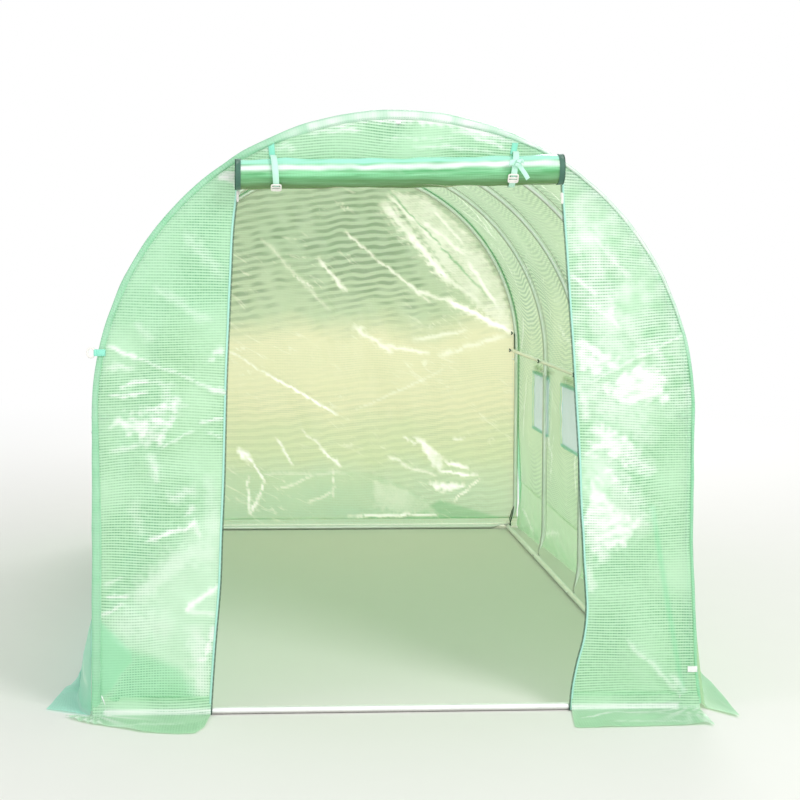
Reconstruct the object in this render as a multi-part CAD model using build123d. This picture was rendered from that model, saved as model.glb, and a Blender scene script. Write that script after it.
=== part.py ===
"""Walk-in polytunnel greenhouse: a bolted frame of steel hoops under a sewn film cover.

Millimetres, +Z up, origin on the ground at the middle of the footprint.
The tunnel runs along Y, its doorway faces -Y and +X is on the right of someone walking in.
"""

import os
from math import cos, radians, sin, sqrt

from build123d import *

# Covered tunnel, measured over the film: upright walls with a half circle on top
WIDTH = 2000.0
WALL_HEIGHT = 1000.0
LENGTH = 3500.0
HOOP_COUNT = 5

# Steel tubes, drawn with twelve flats that keep the long bent ones light
TUBE_SIDES = 12
HOOP_TUBE = 25.0
RAIL_TUBE = 25.0
PURLIN_TUBE = 19.0
TUBE_WALL = 1.2
ARCH_SOCKET = 80.0
NECK_LENGTH = 55.0
NECK_FIT = 0.3

# Pressed tube ends, flattened to a tongue that lies against a base rail
TONGUE_LENGTH = 36.0
TONGUE_CORNER = 6.0
FOOT_FLARE = 56.0
RAIL_FLARE = 44.0
RAIL_INSET = 40.0
BOLT_HOLE = 6.6
GROUND_GAP = 1.0

# Film cover
FILM = 2.0
CLEAR = 0.3
ROOF_STRIPS = 6

# Doorway in the front face
DOOR_TOP_WIDTH = 1080.0
DOOR_FOOT_WIDTH = 1200.0
DOOR_HEAD_DROP = 200.0
ZIP_WIDTH = 24.0
ZIP_THICKNESS = 1.5

# Rolled-up door and the two straps that hold it
ROLL_RADIUS = 55.5
ROLL_END_GAP = 8.0
ROLL_TILT = 1.3
ROLL_PITCH = 9.0
ROLL_TURNS = 5
ROLL_BELOW_DOOR_TOP = 3.0
STRAP_INSET = 140.0
STRAP_SHIFT = -17.0
STRAP_WIDTH = 30.0
STRAP_THICKNESS = 1.5
STRAP_TAIL_HEIGHT = 90.0
BUCKLE_LENGTH = 34.0
BUCKLE_WIDTH = 38.0
BUCKLE_THICKNESS = 4.0
BUCKLE_BAR = 5.0
BUCKLE_ANGLE = 58.0

# Netted windows along both sides, with a flap rolled up over each
WINDOW_COUNT = 3
WINDOW_WIDTH = 400.0
WINDOW_HEIGHT = 280.0
WINDOW_DROP = 95.0
WINDOW_PITCH = 755.0
WINDOW_SHIFT = 280.0
NET_THICKNESS = 1.0
FLAP_RADIUS = 14.0
FLAP_PITCH = 5.0
FLAP_TURNS = 1
FLAP_OVERHANG = 15.0

# Skirts that spread over the ground round the foot of the cover
SIDE_SKIRT_TOP = 260.0
SIDE_SKIRT_KNEE_OUT = 46.0
SIDE_SKIRT_KNEE_HEIGHT = 100.0
SIDE_SKIRT_TOE_OUT = 105.0
SIDE_SKIRT_REACH = 157.0
SIDE_SKIRT_CORNER = 100.0
END_SKIRT_TOP = 60.0
END_SKIRT_KNEE_OUT = 14.0
END_SKIRT_KNEE_HEIGHT = 14.0
END_SKIRT_TOE_OUT = 50.0
END_SKIRT_REACH = 205.0
SKIRT_HEM = 10.0

# Values that follow from the ones above
ARCH_OUTER = WIDTH / 2
HEIGHT = WALL_HEIGHT + ARCH_OUTER
DOOR_HEIGHT = HEIGHT - DOOR_HEAD_DROP
STRAP_TOP = DOOR_HEIGHT + STRAP_TAIL_HEIGHT
WINDOW_SILL = WALL_HEIGHT - WINDOW_DROP - WINDOW_HEIGHT
COVER_INNER = ARCH_OUTER - FILM
HALF_LENGTH = LENGTH / 2
HOOP_RADIUS = COVER_INNER - CLEAR - HOOP_TUBE / 2
END_HOOP_Y = HALF_LENGTH - FILM - CLEAR - HOOP_TUBE / 2
HOOP_SPACING = 2 * END_HOOP_Y / (HOOP_COUNT - 1)
FRAME_HALF_LENGTH = END_HOOP_Y + HOOP_TUBE / 2
PURLIN_RADIUS = HOOP_RADIUS - HOOP_TUBE / 2 - CLEAR - PURLIN_TUBE / 2
SIDE_RAIL_X = HOOP_RADIUS - RAIL_INSET
TONGUE = 2 * TUBE_WALL
RAIL_SEAT = RAIL_TUBE / 2 + CLEAR + TONGUE / 2
LEG_TOP = WALL_HEIGHT - ARCH_SOCKET
ROLL_Y = -(HALF_LENGTH + CLEAR + STRAP_THICKNESS + CLEAR + ROLL_RADIUS)
ROLL_Z = DOOR_HEIGHT - ROLL_BELOW_DOOR_TOP
ROLL_LENGTH = DOOR_TOP_WIDTH - 2 * ROLL_END_GAP
STRAP_X = ROLL_LENGTH / 2 - STRAP_INSET


def round_bar(outer):
    """Cross-section of a round bar, with corners on its X and Y axes."""
    return RegularPolygon(outer / 2, TUBE_SIDES)


def ring(outer, wall):
    """Cross-section of a tube, centred on the current plane."""
    return round_bar(outer) - round_bar(outer - 2 * wall)


def tube(start, direction, length, outer, wall=TUBE_WALL):
    """Straight tube from a point, along a direction, with a corner of its section facing X or Z."""
    turned = (1, 0, 0) if direction[0] == 0 else (0, 1, 0)
    return extrude(Plane(origin=start, x_dir=turned, z_dir=direction) * ring(outer, wall), length)


def pressed_end(outer, flare, offset, length):
    """Tube end that is pressed to a chisel shape and then to a drilled tongue as wide as the tube.

    It starts at the origin as a full section, runs along +Z and its tongue stands off by offset in X.
    """
    leaning = extrude(round_bar(outer), sqrt(offset**2 + flare**2), dir=(offset, 0, flare))
    side_view = Polyline((-outer / 2, 0), (outer / 2, 0), (offset + TONGUE / 2, flare),
                         (offset - TONGUE / 2, flare), close=True)
    flared = leaning & extrude(Plane.XZ * make_face(side_view), outer / 2, both=True)
    tongue = Pos(offset, 0, flare + length / 2) * Box(TONGUE, outer, length)
    tongue = chamfer(tongue.edges().filter_by(Axis.X).group_by(Axis.Z)[-1], TONGUE_CORNER)
    hole = Pos(offset, 0, flare + length / 2) * Rot(0, 90, 0) * Cylinder(BOLT_HOLE / 2, 2 * TONGUE)
    return flared + tongue - hole


def hoop_arch(y):
    """Half circle over the tunnel, with a straight open socket at each end for a leg's neck."""
    axis = Axis((0, y, WALL_HEIGHT), (0, -1, 0))
    section = Plane(origin=(HOOP_RADIUS, y, WALL_HEIGHT), z_dir=(0, 0, 1)) * round_bar(HOOP_TUBE)
    arch = revolve(section, axis, 180)
    for side in (-1, 1):
        arch += tube((side * HOOP_RADIUS, y, LEG_TOP), (0, 0, 1), ARCH_SOCKET, HOOP_TUBE)
    return arch


def right_leg(y):
    """Leg from its swaged neck, inside the arch's socket, down to the tongue bolted to the side rail."""
    flare_top = GROUND_GAP + TONGUE_LENGTH + FOOT_FLARE
    neck_outer = HOOP_TUBE - 2 * TUBE_WALL - NECK_FIT
    shaft = tube((HOOP_RADIUS, y, flare_top), (0, 0, 1), LEG_TOP - flare_top, HOOP_TUBE)
    neck = tube((HOOP_RADIUS, y, LEG_TOP - NECK_LENGTH / 2), (0, 0, 1), 1.5 * NECK_LENGTH, neck_outer)
    shoulder = tube((HOOP_RADIUS, y, LEG_TOP - NECK_LENGTH / 2), (0, 0, 1), NECK_LENGTH / 2, HOOP_TUBE - TUBE_WALL)
    foot_top = Plane(origin=(HOOP_RADIUS, y, flare_top), x_dir=(-1, 0, 0), z_dir=(0, 0, -1))
    foot = foot_top * pressed_end(HOOP_TUBE, FOOT_FLARE, RAIL_INSET - RAIL_SEAT, TONGUE_LENGTH)
    return shaft + neck + shoulder + foot


def hoop_legs(y):
    """The two legs of one hoop."""
    leg = right_leg(y)
    return Compound(children=[leg, mirror(leg, Plane.YZ)])


def purlin(x, z):
    """Long tube inside the hoops, from the first to the last."""
    return tube((x, -FRAME_HALF_LENGTH, z), (0, 1, 0), 2 * FRAME_HALF_LENGTH, PURLIN_TUBE)


def side_base_rail(side):
    """Rail on the ground that the feet of one side are bolted to."""
    start = (side * SIDE_RAIL_X, -FRAME_HALF_LENGTH, RAIL_TUBE / 2)
    return tube(start, (0, 1, 0), 2 * FRAME_HALF_LENGTH, RAIL_TUBE)


def end_base_rail(y):
    """Rail across one end, its pressed ends lying on the side rails."""
    half_tube = SIDE_RAIL_X - RAIL_TUBE / 2 - RAIL_FLARE
    rail = tube((-half_tube, y, RAIL_TUBE / 2), (1, 0, 0), 2 * half_tube, RAIL_TUBE)
    tube_end = Plane(origin=(half_tube, y, RAIL_TUBE / 2), x_dir=(0, 0, 1), z_dir=(1, 0, 0))
    end = tube_end * pressed_end(RAIL_TUBE, RAIL_FLARE, RAIL_SEAT, RAIL_TUBE)
    return rail + end + mirror(end, Plane.YZ)


def window_centres():
    """Places of the windows along Y."""
    first = WINDOW_SHIFT - WINDOW_PITCH * (WINDOW_COUNT - 1) / 2
    return [first + WINDOW_PITCH * index for index in range(WINDOW_COUNT)]


def window_block(y, thickness):
    """Block as wide and high as a window, centred on the film of the right wall."""
    centre = (ARCH_OUTER - FILM / 2, y, WINDOW_SILL + WINDOW_HEIGHT / 2)
    return Pos(*centre) * Box(thickness, WINDOW_WIDTH, WINDOW_HEIGHT)


def right_wall_film():
    """Upright film from the side skirt to the spring of the arch, with its window cut-outs."""
    height = WALL_HEIGHT - SIDE_SKIRT_TOP
    wall = Pos(ARCH_OUTER - FILM / 2, 0, SIDE_SKIRT_TOP + height / 2) * Box(FILM, LENGTH, height)
    for y in window_centres():
        wall -= window_block(y, 2 * FILM)
    return wall


def right_window_nets():
    """One net in each cut-out of the right wall."""
    return Compound(children=[window_block(y, NET_THICKNESS) for y in window_centres()])


def rolled_sheet(radius, pitch, turns, length):
    """Loosely rolled film along X: a spiral of half circles, each half a pitch smaller than the last."""
    halves = []
    for half in range(2 * turns):
        lower = half % 2
        halves.append(CenterArc((-lower * pitch / 2, 0), radius - FILM / 2 - half * pitch / 2, 180 * lower, 180))
    return extrude(Plane.YZ * trace(halves, line_width=FILM), length / 2, both=True)


def right_window_flaps():
    """Rolled-up flap over each window of the right wall, on its outer face."""
    x = ARCH_OUTER + CLEAR + FLAP_RADIUS
    z = WINDOW_SILL + WINDOW_HEIGHT + FLAP_OVERHANG + FLAP_RADIUS
    roll = Rot(0, 0, -90) * rolled_sheet(FLAP_RADIUS, FLAP_PITCH, FLAP_TURNS, WINDOW_WIDTH + 2 * FLAP_OVERHANG)
    return Compound(children=[Pos(x, y, z) * roll for y in window_centres()])


def roof_strip(index):
    """One strip of the arched film, counted from the right."""
    step = 180 / ROOF_STRIPS
    edge = Plane(origin=(ARCH_OUTER - FILM / 2, 0, WALL_HEIGHT)) * Rectangle(FILM, LENGTH)
    strip = revolve(edge, Axis((0, 0, WALL_HEIGHT), (0, -1, 0)), step)
    return Pos(0, 0, WALL_HEIGHT) * Rot(0, -index * step, 0) * Pos(0, 0, -WALL_HEIGHT) * strip


def end_outline(radius, foot):
    """Upright arch shape on the XZ plane, from a height above the ground."""
    wall = Pos(0, (foot + WALL_HEIGHT) / 2) * Rectangle(2 * radius, WALL_HEIGHT - foot)
    arch = Circle(radius) & Pos(0, radius / 2) * Rectangle(2 * radius, radius)
    return Plane.XZ * (wall + Pos(0, WALL_HEIGHT) * arch)


def end_sheet(outline, y_outer):
    """Film of an end face, its outer side at y_outer and its thickness towards the tunnel."""
    towards = 1 if y_outer < 0 else -1
    return extrude(Pos(0, y_outer, 0) * outline, FILM, dir=(0, towards, 0))


def door_half_width(z):
    """Half the doorway's width at a height, since its edges lean out towards the ground."""
    share = (DOOR_HEIGHT - z) / DOOR_HEIGHT
    return (DOOR_TOP_WIDTH + share * (DOOR_FOOT_WIDTH - DOOR_TOP_WIDTH)) / 2


def beside_door(inner_shift, outer_shift, top):
    """Region of the XZ plane right of the doorway, between two distances from its edge."""
    corners = [
        (door_half_width(END_SKIRT_TOP) + inner_shift, END_SKIRT_TOP),
        (door_half_width(END_SKIRT_TOP) + outer_shift, END_SKIRT_TOP),
        (door_half_width(top) + outer_shift, top),
        (door_half_width(top) + inner_shift, top),
    ]
    return Plane.XZ * make_face(Polyline(*corners, close=True))


def right_front_panel():
    """Front film between the doorway's edge and the arch."""
    outline = end_outline(COVER_INNER, END_SKIRT_TOP) & beside_door(0, WIDTH, DOOR_HEIGHT)
    return end_sheet(outline, -HALF_LENGTH)


def top_front_panel():
    """Front film over the doorway."""
    above = Plane.XZ * (Pos(0, DOOR_HEIGHT + HEIGHT / 2) * Rectangle(WIDTH, HEIGHT))
    return end_sheet(end_outline(COVER_INNER, END_SKIRT_TOP) & above, -HALF_LENGTH)


def back_wall_film():
    """Closed film of the back end."""
    return end_sheet(end_outline(COVER_INNER, END_SKIRT_TOP), HALF_LENGTH)


def zip_tapes():
    """Zip tape down each edge of the doorway, on the outside of the front film."""
    strip = extrude(Pos(0, -HALF_LENGTH - CLEAR, 0) * beside_door(0, ZIP_WIDTH, DOOR_HEIGHT), ZIP_THICKNESS,
                    dir=(0, -1, 0))
    return Compound(children=[strip, mirror(strip, Plane.YZ)])


def skirt_profile(plane, inner, drops):
    """Bent strip of film: straight down from the cover, out over two bends and flat on the ground."""
    top, knee_out, knee_height, toe_out, reach = drops
    path = Polyline(
        (inner, top), (inner, top - SKIRT_HEM), (inner + knee_out, knee_height),
        (inner + toe_out, FILM / 2), (inner + reach - FILM / 2, FILM / 2),
    )
    return plane * trace(path, line_width=FILM)


def right_skirt():
    """Skirt of the right side, with its toe running past both ends in pointed corners."""
    drops = (SIDE_SKIRT_TOP, SIDE_SKIRT_KNEE_OUT, SIDE_SKIRT_KNEE_HEIGHT, SIDE_SKIRT_TOE_OUT, SIDE_SKIRT_REACH)
    face = skirt_profile(Plane.XZ, ARCH_OUTER - FILM / 2, drops)
    sheet = extrude(face, HALF_LENGTH + SIDE_SKIRT_CORNER, both=True)
    toe_x = ARCH_OUTER + SIDE_SKIRT_REACH
    toe_y = HALF_LENGTH + SIDE_SKIRT_CORNER
    plan = Polyline((0, -HALF_LENGTH), (COVER_INNER, -HALF_LENGTH), (toe_x, -toe_y), (toe_x, toe_y),
                    (COVER_INNER, HALF_LENGTH), (0, HALF_LENGTH), close=True)
    return sheet & extrude(make_face(plan), SIDE_SKIRT_TOP)


def end_skirt(x_from, x_to):
    """Skirt in front of the front face, between two places along X."""
    drops = (END_SKIRT_TOP, END_SKIRT_KNEE_OUT, END_SKIRT_KNEE_HEIGHT, END_SKIRT_TOE_OUT, END_SKIRT_REACH)
    face = skirt_profile(Plane(origin=(x_from, 0, 0), x_dir=(0, -1, 0), z_dir=(-1, 0, 0)),
                         HALF_LENGTH - FILM / 2, drops)
    return extrude(face, x_to - x_from, dir=(1, 0, 0))


def right_front_skirt():
    """Skirt of the right front panel."""
    return end_skirt(door_half_width(END_SKIRT_TOP), COVER_INNER)


def back_skirt():
    """Skirt of the back wall."""
    return mirror(end_skirt(-COVER_INNER, COVER_INNER), Plane.XZ)


def tilted(piece):
    """Turns what hangs with the roll about the roll's middle, so that its right end is the higher one."""
    return Pos(0, ROLL_Y, ROLL_Z) * Rot(0, -ROLL_TILT, 0) * Pos(0, -ROLL_Y, -ROLL_Z) * piece


def door_roll():
    """The door, rolled up over the doorway."""
    return tilted(Pos(0, ROLL_Y, ROLL_Z) * rolled_sheet(ROLL_RADIUS, ROLL_PITCH, ROLL_TURNS, ROLL_LENGTH))


def strap_centres():
    """Places of the two straps along X."""
    return [STRAP_SHIFT - STRAP_X, STRAP_SHIFT + STRAP_X]


def door_straps():
    """Two webbing loops round the roll, each with a tail sewn to the front film above it."""
    inner = ROLL_RADIUS + CLEAR
    outer = inner + STRAP_THICKNESS
    loop = Plane.YZ * (Pos(ROLL_Y, ROLL_Z) * (Circle(outer) - Circle(inner)))
    tail_y = -HALF_LENGTH - CLEAR - STRAP_THICKNESS / 2
    tail = Plane.YZ * (Pos(tail_y, (ROLL_Z + STRAP_TOP) / 2) * Rectangle(STRAP_THICKNESS, STRAP_TOP - ROLL_Z))
    strap = extrude(loop + tail, STRAP_WIDTH / 2, both=True)
    return Compound(children=[tilted(Pos(x, 0, 0) * strap) for x in strap_centres()])


def strap_buckles():
    """Ladder buckle on the lower front of each strap."""
    plate = fillet(Box(BUCKLE_WIDTH, BUCKLE_LENGTH, BUCKLE_THICKNESS).edges().filter_by(Axis.Z), BUCKLE_BAR)
    slot_length = (BUCKLE_LENGTH - 3 * BUCKLE_BAR) / 2
    for side in (-1, 1):
        y = side * (BUCKLE_BAR + slot_length) / 2
        plate -= Pos(0, y, 0) * Box(BUCKLE_WIDTH - 2 * BUCKLE_BAR, slot_length, 2 * BUCKLE_THICKNESS)
    reach = ROLL_RADIUS + STRAP_THICKNESS + 2 * CLEAR + BUCKLE_THICKNESS / 2
    angle = radians(BUCKLE_ANGLE)
    outward = (0, -cos(angle), -sin(angle))
    pieces = []
    for x in strap_centres():
        centre = (x, ROLL_Y + reach * outward[1], ROLL_Z + reach * outward[2])
        pieces.append(tilted(Plane(origin=centre, x_dir=(1, 0, 0), z_dir=outward) * plate))
    return Compound(children=pieces)


def both_sides(name, right_piece):
    """The right-hand piece and its mirror image, under a left_ and a right_ name."""
    return {f"right_{name}": right_piece, f"left_{name}": mirror(right_piece, Plane.YZ)}


def build_nodes():
    """Every piece of the greenhouse, by node name."""
    nodes = {}
    for index in range(HOOP_COUNT):
        y = -END_HOOP_Y + index * HOOP_SPACING
        nodes[f"hoop_{index + 1}_arch"] = hoop_arch(y)
        nodes[f"hoop_{index + 1}_legs"] = hoop_legs(y)
    nodes["ridge_purlin"] = purlin(0, WALL_HEIGHT + PURLIN_RADIUS)
    side_purlin_z = WALL_HEIGHT - PURLIN_TUBE / 2
    nodes |= both_sides("purlin", purlin(PURLIN_RADIUS, side_purlin_z))
    nodes |= both_sides("base_rail", side_base_rail(1))
    nodes["front_base_rail"] = end_base_rail(-END_HOOP_Y)
    nodes["back_base_rail"] = end_base_rail(END_HOOP_Y)
    nodes |= both_sides("wall_film", right_wall_film())
    nodes |= both_sides("window_nets", right_window_nets())
    nodes |= both_sides("window_flaps", right_window_flaps())
    for index in range(ROOF_STRIPS):
        nodes[f"roof_film_{index + 1}"] = roof_strip(index)
    nodes |= both_sides("front_panel", right_front_panel())
    nodes["top_front_panel"] = top_front_panel()
    nodes["back_wall_film"] = back_wall_film()
    nodes |= both_sides("skirt", right_skirt())
    nodes |= both_sides("front_skirt", right_front_skirt())
    nodes["back_skirt"] = back_skirt()
    nodes["door_zip_tapes"] = zip_tapes()
    nodes["door_roll"] = door_roll()
    nodes["door_straps"] = door_straps()
    nodes["strap_buckles"] = strap_buckles()
    return nodes


os.makedirs("parts", exist_ok=True)
for name, piece in build_nodes().items():
    export_step(piece, f"parts/{name}.step")
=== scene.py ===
import math

import bmesh
import bpy
import numpy as np
from bpy.props import FloatProperty, FloatVectorProperty, IntProperty, PointerProperty
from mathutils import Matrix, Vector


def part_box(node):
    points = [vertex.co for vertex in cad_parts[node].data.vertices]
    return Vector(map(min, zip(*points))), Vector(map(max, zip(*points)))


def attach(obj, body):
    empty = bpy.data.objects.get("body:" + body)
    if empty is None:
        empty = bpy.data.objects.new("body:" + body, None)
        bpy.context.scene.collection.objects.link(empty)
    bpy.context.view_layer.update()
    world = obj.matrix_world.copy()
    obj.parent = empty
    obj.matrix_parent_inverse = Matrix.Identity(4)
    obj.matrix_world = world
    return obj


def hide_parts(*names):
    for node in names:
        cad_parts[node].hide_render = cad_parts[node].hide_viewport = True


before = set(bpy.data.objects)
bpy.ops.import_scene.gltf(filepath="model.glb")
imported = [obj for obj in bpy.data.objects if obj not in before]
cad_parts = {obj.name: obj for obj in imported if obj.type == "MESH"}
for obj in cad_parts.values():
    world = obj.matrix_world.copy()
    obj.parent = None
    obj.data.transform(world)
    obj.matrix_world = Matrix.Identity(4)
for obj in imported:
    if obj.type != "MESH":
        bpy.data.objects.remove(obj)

bl_info = {
    "name": "Polytunnel greenhouse",
    "version": (1, 0, 0),
    "blender": (4, 5, 0),
    "location": "3D View > Sidebar > Greenhouse",
    "description": "Dresses the frame and cover of a walk-in polytunnel greenhouse",
    "category": "Object",
}

# Places read from the frame, in metres: x to the right, y into the tunnel, z up


def span(node):
    """The lowest and highest corners of a node of the frame."""
    low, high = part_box(node)
    return np.array(low), np.array(high)


def middle(node, axis):
    """Where the middle of a node lies along one axis."""
    low, high = span(node)
    return float(low[axis] + high[axis]) / 2


def lowest(node, axis):
    return float(span(node)[0][axis])


def highest(node, axis):
    return float(span(node)[1][axis])


def half_size(node, axis):
    return (highest(node, axis) - lowest(node, axis)) / 2


X, Y, Z = range(3)
HOOPS = range(1, 6)
HOOP_Y = [middle(f"hoop_{i}_arch", Y) for i in HOOPS]
PITCH = HOOP_Y[1] - HOOP_Y[0]
FRONT = lowest("right_front_panel", Y)
BACK = highest("back_wall_film", Y)
RADIUS = highest("right_wall_film", X)
SPRING = highest("right_wall_film", Z)
WALL_FOOT = lowest("right_wall_film", Z)
DOOR_HEAD = highest("right_front_panel", Z)
RAIL_X = middle("right_base_rail", X)
RAIL_Z = middle("right_base_rail", Z)
PURLIN_X = middle("right_purlin", X)
PURLIN_Z = middle("right_purlin", Z)
RIDGE_Z = middle("ridge_purlin", Z)
TUBE = half_size("right_base_rail", Z)
PURLIN_TUBE = half_size("ridge_purlin", Z)
HOOP_RADIUS = highest("hoop_3_arch", Z) - SPRING - TUBE
SOCKET_FOOT = lowest("hoop_3_arch", Z)
TUBE_END = highest("ridge_purlin", Y)
FLAP_X = middle("right_window_flaps", X)
FLAP_Z = middle("right_window_flaps", Z)
ARCH_LENGTH = math.pi * RADIUS
COVER_LENGTH = 2 * SPRING + ARCH_LENGTH

# The outer edge of the sheets that close the tunnel's ends, just inside the cover
END_RADIUS = RADIUS - 0.003
# Where the sheets of each end hang, a little inside its hoop's hem
FRONT_FACE, BACK_FACE = FRONT + 0.0012, BACK - 0.0012
# Half the thickness of a tube where its end is pressed flat
PRESSED = 0.0014

# The window openings of the left and right walls: their middles along y, half width, foot and head
WINDOW_Y = (-0.475, 0.28, 1.035)
WINDOW_HALF = 0.2
WINDOW_FOOT, WINDOW_HEAD = 0.625, 0.905

# The rolled door hangs a little out of level, its right end higher
ROLL_TILT = math.radians(1.3)
ROLL_RADIUS = half_size("door_roll", Y)
ROLL_HALF = 0.532
ROLL_Y = middle("door_roll", Y)
ROLL_Z = middle("door_roll", Z) - 0.0022
# Its innermost turn round the hollow core
ROLL_CORE = 0.010

# The doorway's edges as (height, distance from the middle), which the loose cover lets wander
LEFT_EDGE = (
    (0.0, 0.614), (0.086, 0.609), (0.259, 0.597), (0.432, 0.583), (0.605, 0.577), (0.777, 0.570),
    (0.949, 0.566), (1.12, 0.562), (1.291, 0.555), (1.461, 0.548), (1.631, 0.539), (1.715, 0.529),
    (1.85, 0.520),
)
RIGHT_EDGE = (
    (0.0, 0.590), (0.071, 0.595), (0.159, 0.611), (0.247, 0.633), (0.334, 0.642), (0.422, 0.638),
    (0.51, 0.631), (0.597, 0.626), (0.685, 0.619), (0.859, 0.611), (1.033, 0.599), (1.206, 0.587),
    (1.379, 0.573), (1.551, 0.560), (1.722, 0.546), (1.85, 0.540),
)

# Folds of the film as (u, v, u, v, width, brightness, ridge height): u across and v up, in metres
LEFT_FOLDS = (
    (-0.945, 1.222, -0.83, 1.178, 0.008, 0.95, 0.004),
    (-0.85, 1.185, -0.565, 1.070, 0.006, 0.62, 0.004),
    (-0.62, 1.092, -0.562, 1.066, 0.008, 0.9, 0.003),
    (-0.909, 1.087, -0.817, 1.113, 0.008, 0.9, 0.003),
    (-0.941, 1.061, -0.818, 1.071, 0.007, 0.9, 0.003),
    (-0.845, 1.113, -0.74, 1.095, 0.008, 0.35, 0.0),
    (-0.945, 0.877, -0.844, 0.900, 0.009, 0.55, 0.003),
    (-0.95, 1.155, -0.86, 1.150, 0.012, 0.5, 0.0),
    (-0.76, 1.10, -0.74, 1.01, 0.018, 0.35, 0.0),
    (-0.775, 0.883, -0.675, 0.947, 0.005, 0.6, 0.004),
    (-0.650, 0.975, -0.566, 0.988, 0.005, 0.8, 0.003),
    (-0.622, 0.942, -0.575, 0.923, 0.005, 0.55, 0.002),
    (-0.61, 1.210, -0.565, 1.205, 0.012, 0.8, 0.0),
    (-0.64, 1.180, -0.60, 1.185, 0.006, 0.6, 0.0),
    (-0.815, 0.87, -0.785, 0.771, 0.018, 0.5, 0.003),
    (-0.806, 0.83, -0.79, 0.80, 0.010, 0.7, 0.0),
    (-0.75, 0.72, -0.66, 0.75, 0.022, 0.45, 0.0),
    (-0.70, 0.665, -0.665, 0.70, 0.012, 0.6, 0.0),
    (-0.825, 0.583, -0.69, 0.625, 0.010, 1.0, 0.004),
    (-0.70, 0.62, -0.66, 0.648, 0.012, 1.0, 0.004),
    (-0.66, 0.640, -0.645, 0.585, 0.008, 0.5, 0.0),
    (-0.959, 0.395, -0.887, 0.404, 0.009, 0.9, 0.003),
    (-0.972, 0.336, -0.903, 0.371, 0.008, 0.7, 0.003),
    (-0.96, 0.44, -0.90, 0.46, 0.010, 0.4, 0.0),
    (-0.694, 0.353, -0.66, 0.385, 0.013, 1.1, 0.0),
    (-0.665, 0.378, -0.589, 0.428, 0.010, 0.9, 0.003),
    (-0.69, 0.36, -0.60, 0.335, 0.008, 0.5, 0.0),
    (-0.628, 0.20, -0.605, 0.295, 0.012, 1.1, 0.0),
    (-0.665, 0.185, -0.62, 0.19, 0.009, 0.8, 0.0),
    (-0.87, 0.39, -0.70, 0.55, 0.050, 0.30, 0.004),
    (-0.72, 0.53, -0.60, 0.55, 0.045, 0.22, 0.0),
    (-0.93, 0.31, -0.74, 0.30, 0.060, 0.20, 0.0),
    (-0.66, 0.30, -0.64, 0.06, 0.035, 0.40, 0.0),
    (-0.87, 0.72, -0.84, 0.60, 0.025, 0.25, 0.0),
    (-0.62, 0.80, -0.60, 0.60, 0.030, 0.22, 0.0),
    (-0.80, 1.42, -0.62, 1.30, 0.018, 0.25, 0.004),
    (-0.70, 1.60, -0.58, 1.45, 0.025, 0.25, 0.003),
    (-0.86, 1.30, -0.80, 1.24, 0.02, 0.25, 0.003),
)
# Places where the film shines all over, as outlines of (across, up)
LEFT_PATCHES = (
    ((-0.610, 1.800), (-0.550, 1.835), (-0.520, 1.805), (-0.528, 1.750), (-0.570, 1.765)),
    ((-0.876, 1.010), (-0.811, 1.025), (-0.746, 1.043), (-0.690, 1.040), (-0.713, 1.019), (-0.762, 1.008)),
    ((-0.930, 0.970), (-0.905, 0.986), (-0.860, 0.979), (-0.811, 0.990), (-0.730, 0.986), (-0.739, 0.968),
     (-0.779, 0.956), (-0.811, 0.939), (-0.834, 0.926), (-0.860, 0.936), (-0.893, 0.956)),
    ((-0.840, 0.914), (-0.805, 0.938), (-0.756, 0.944), (-0.759, 0.928), (-0.785, 0.914), (-0.808, 0.902)),
)
RIGHT_PATCHES = (
    ((0.625, 0.850), (0.700, 0.960), (0.790, 0.900), (0.830, 0.800), (0.745, 0.840), (0.690, 0.865)),
    ((0.640, 0.560), (0.630, 0.700), (0.665, 0.790), (0.720, 0.700), (0.830, 0.640), (0.760, 0.560),
     (0.690, 0.530)),
    ((0.690, 0.820), (0.760, 0.790), (0.800, 0.730), (0.740, 0.740)),
    ((0.605, 1.227), (0.653, 1.198), (0.734, 1.165), (0.654, 1.127), (0.605, 1.174)),
    ((0.674, 1.079), (0.745, 1.112), (0.812, 1.160), (0.875, 1.150), (0.910, 1.050), (0.852, 1.041),
     (0.775, 1.031)),
    ((0.637, 1.375), (0.690, 1.350), (0.746, 1.312), (0.700, 1.325)),
)
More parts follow.
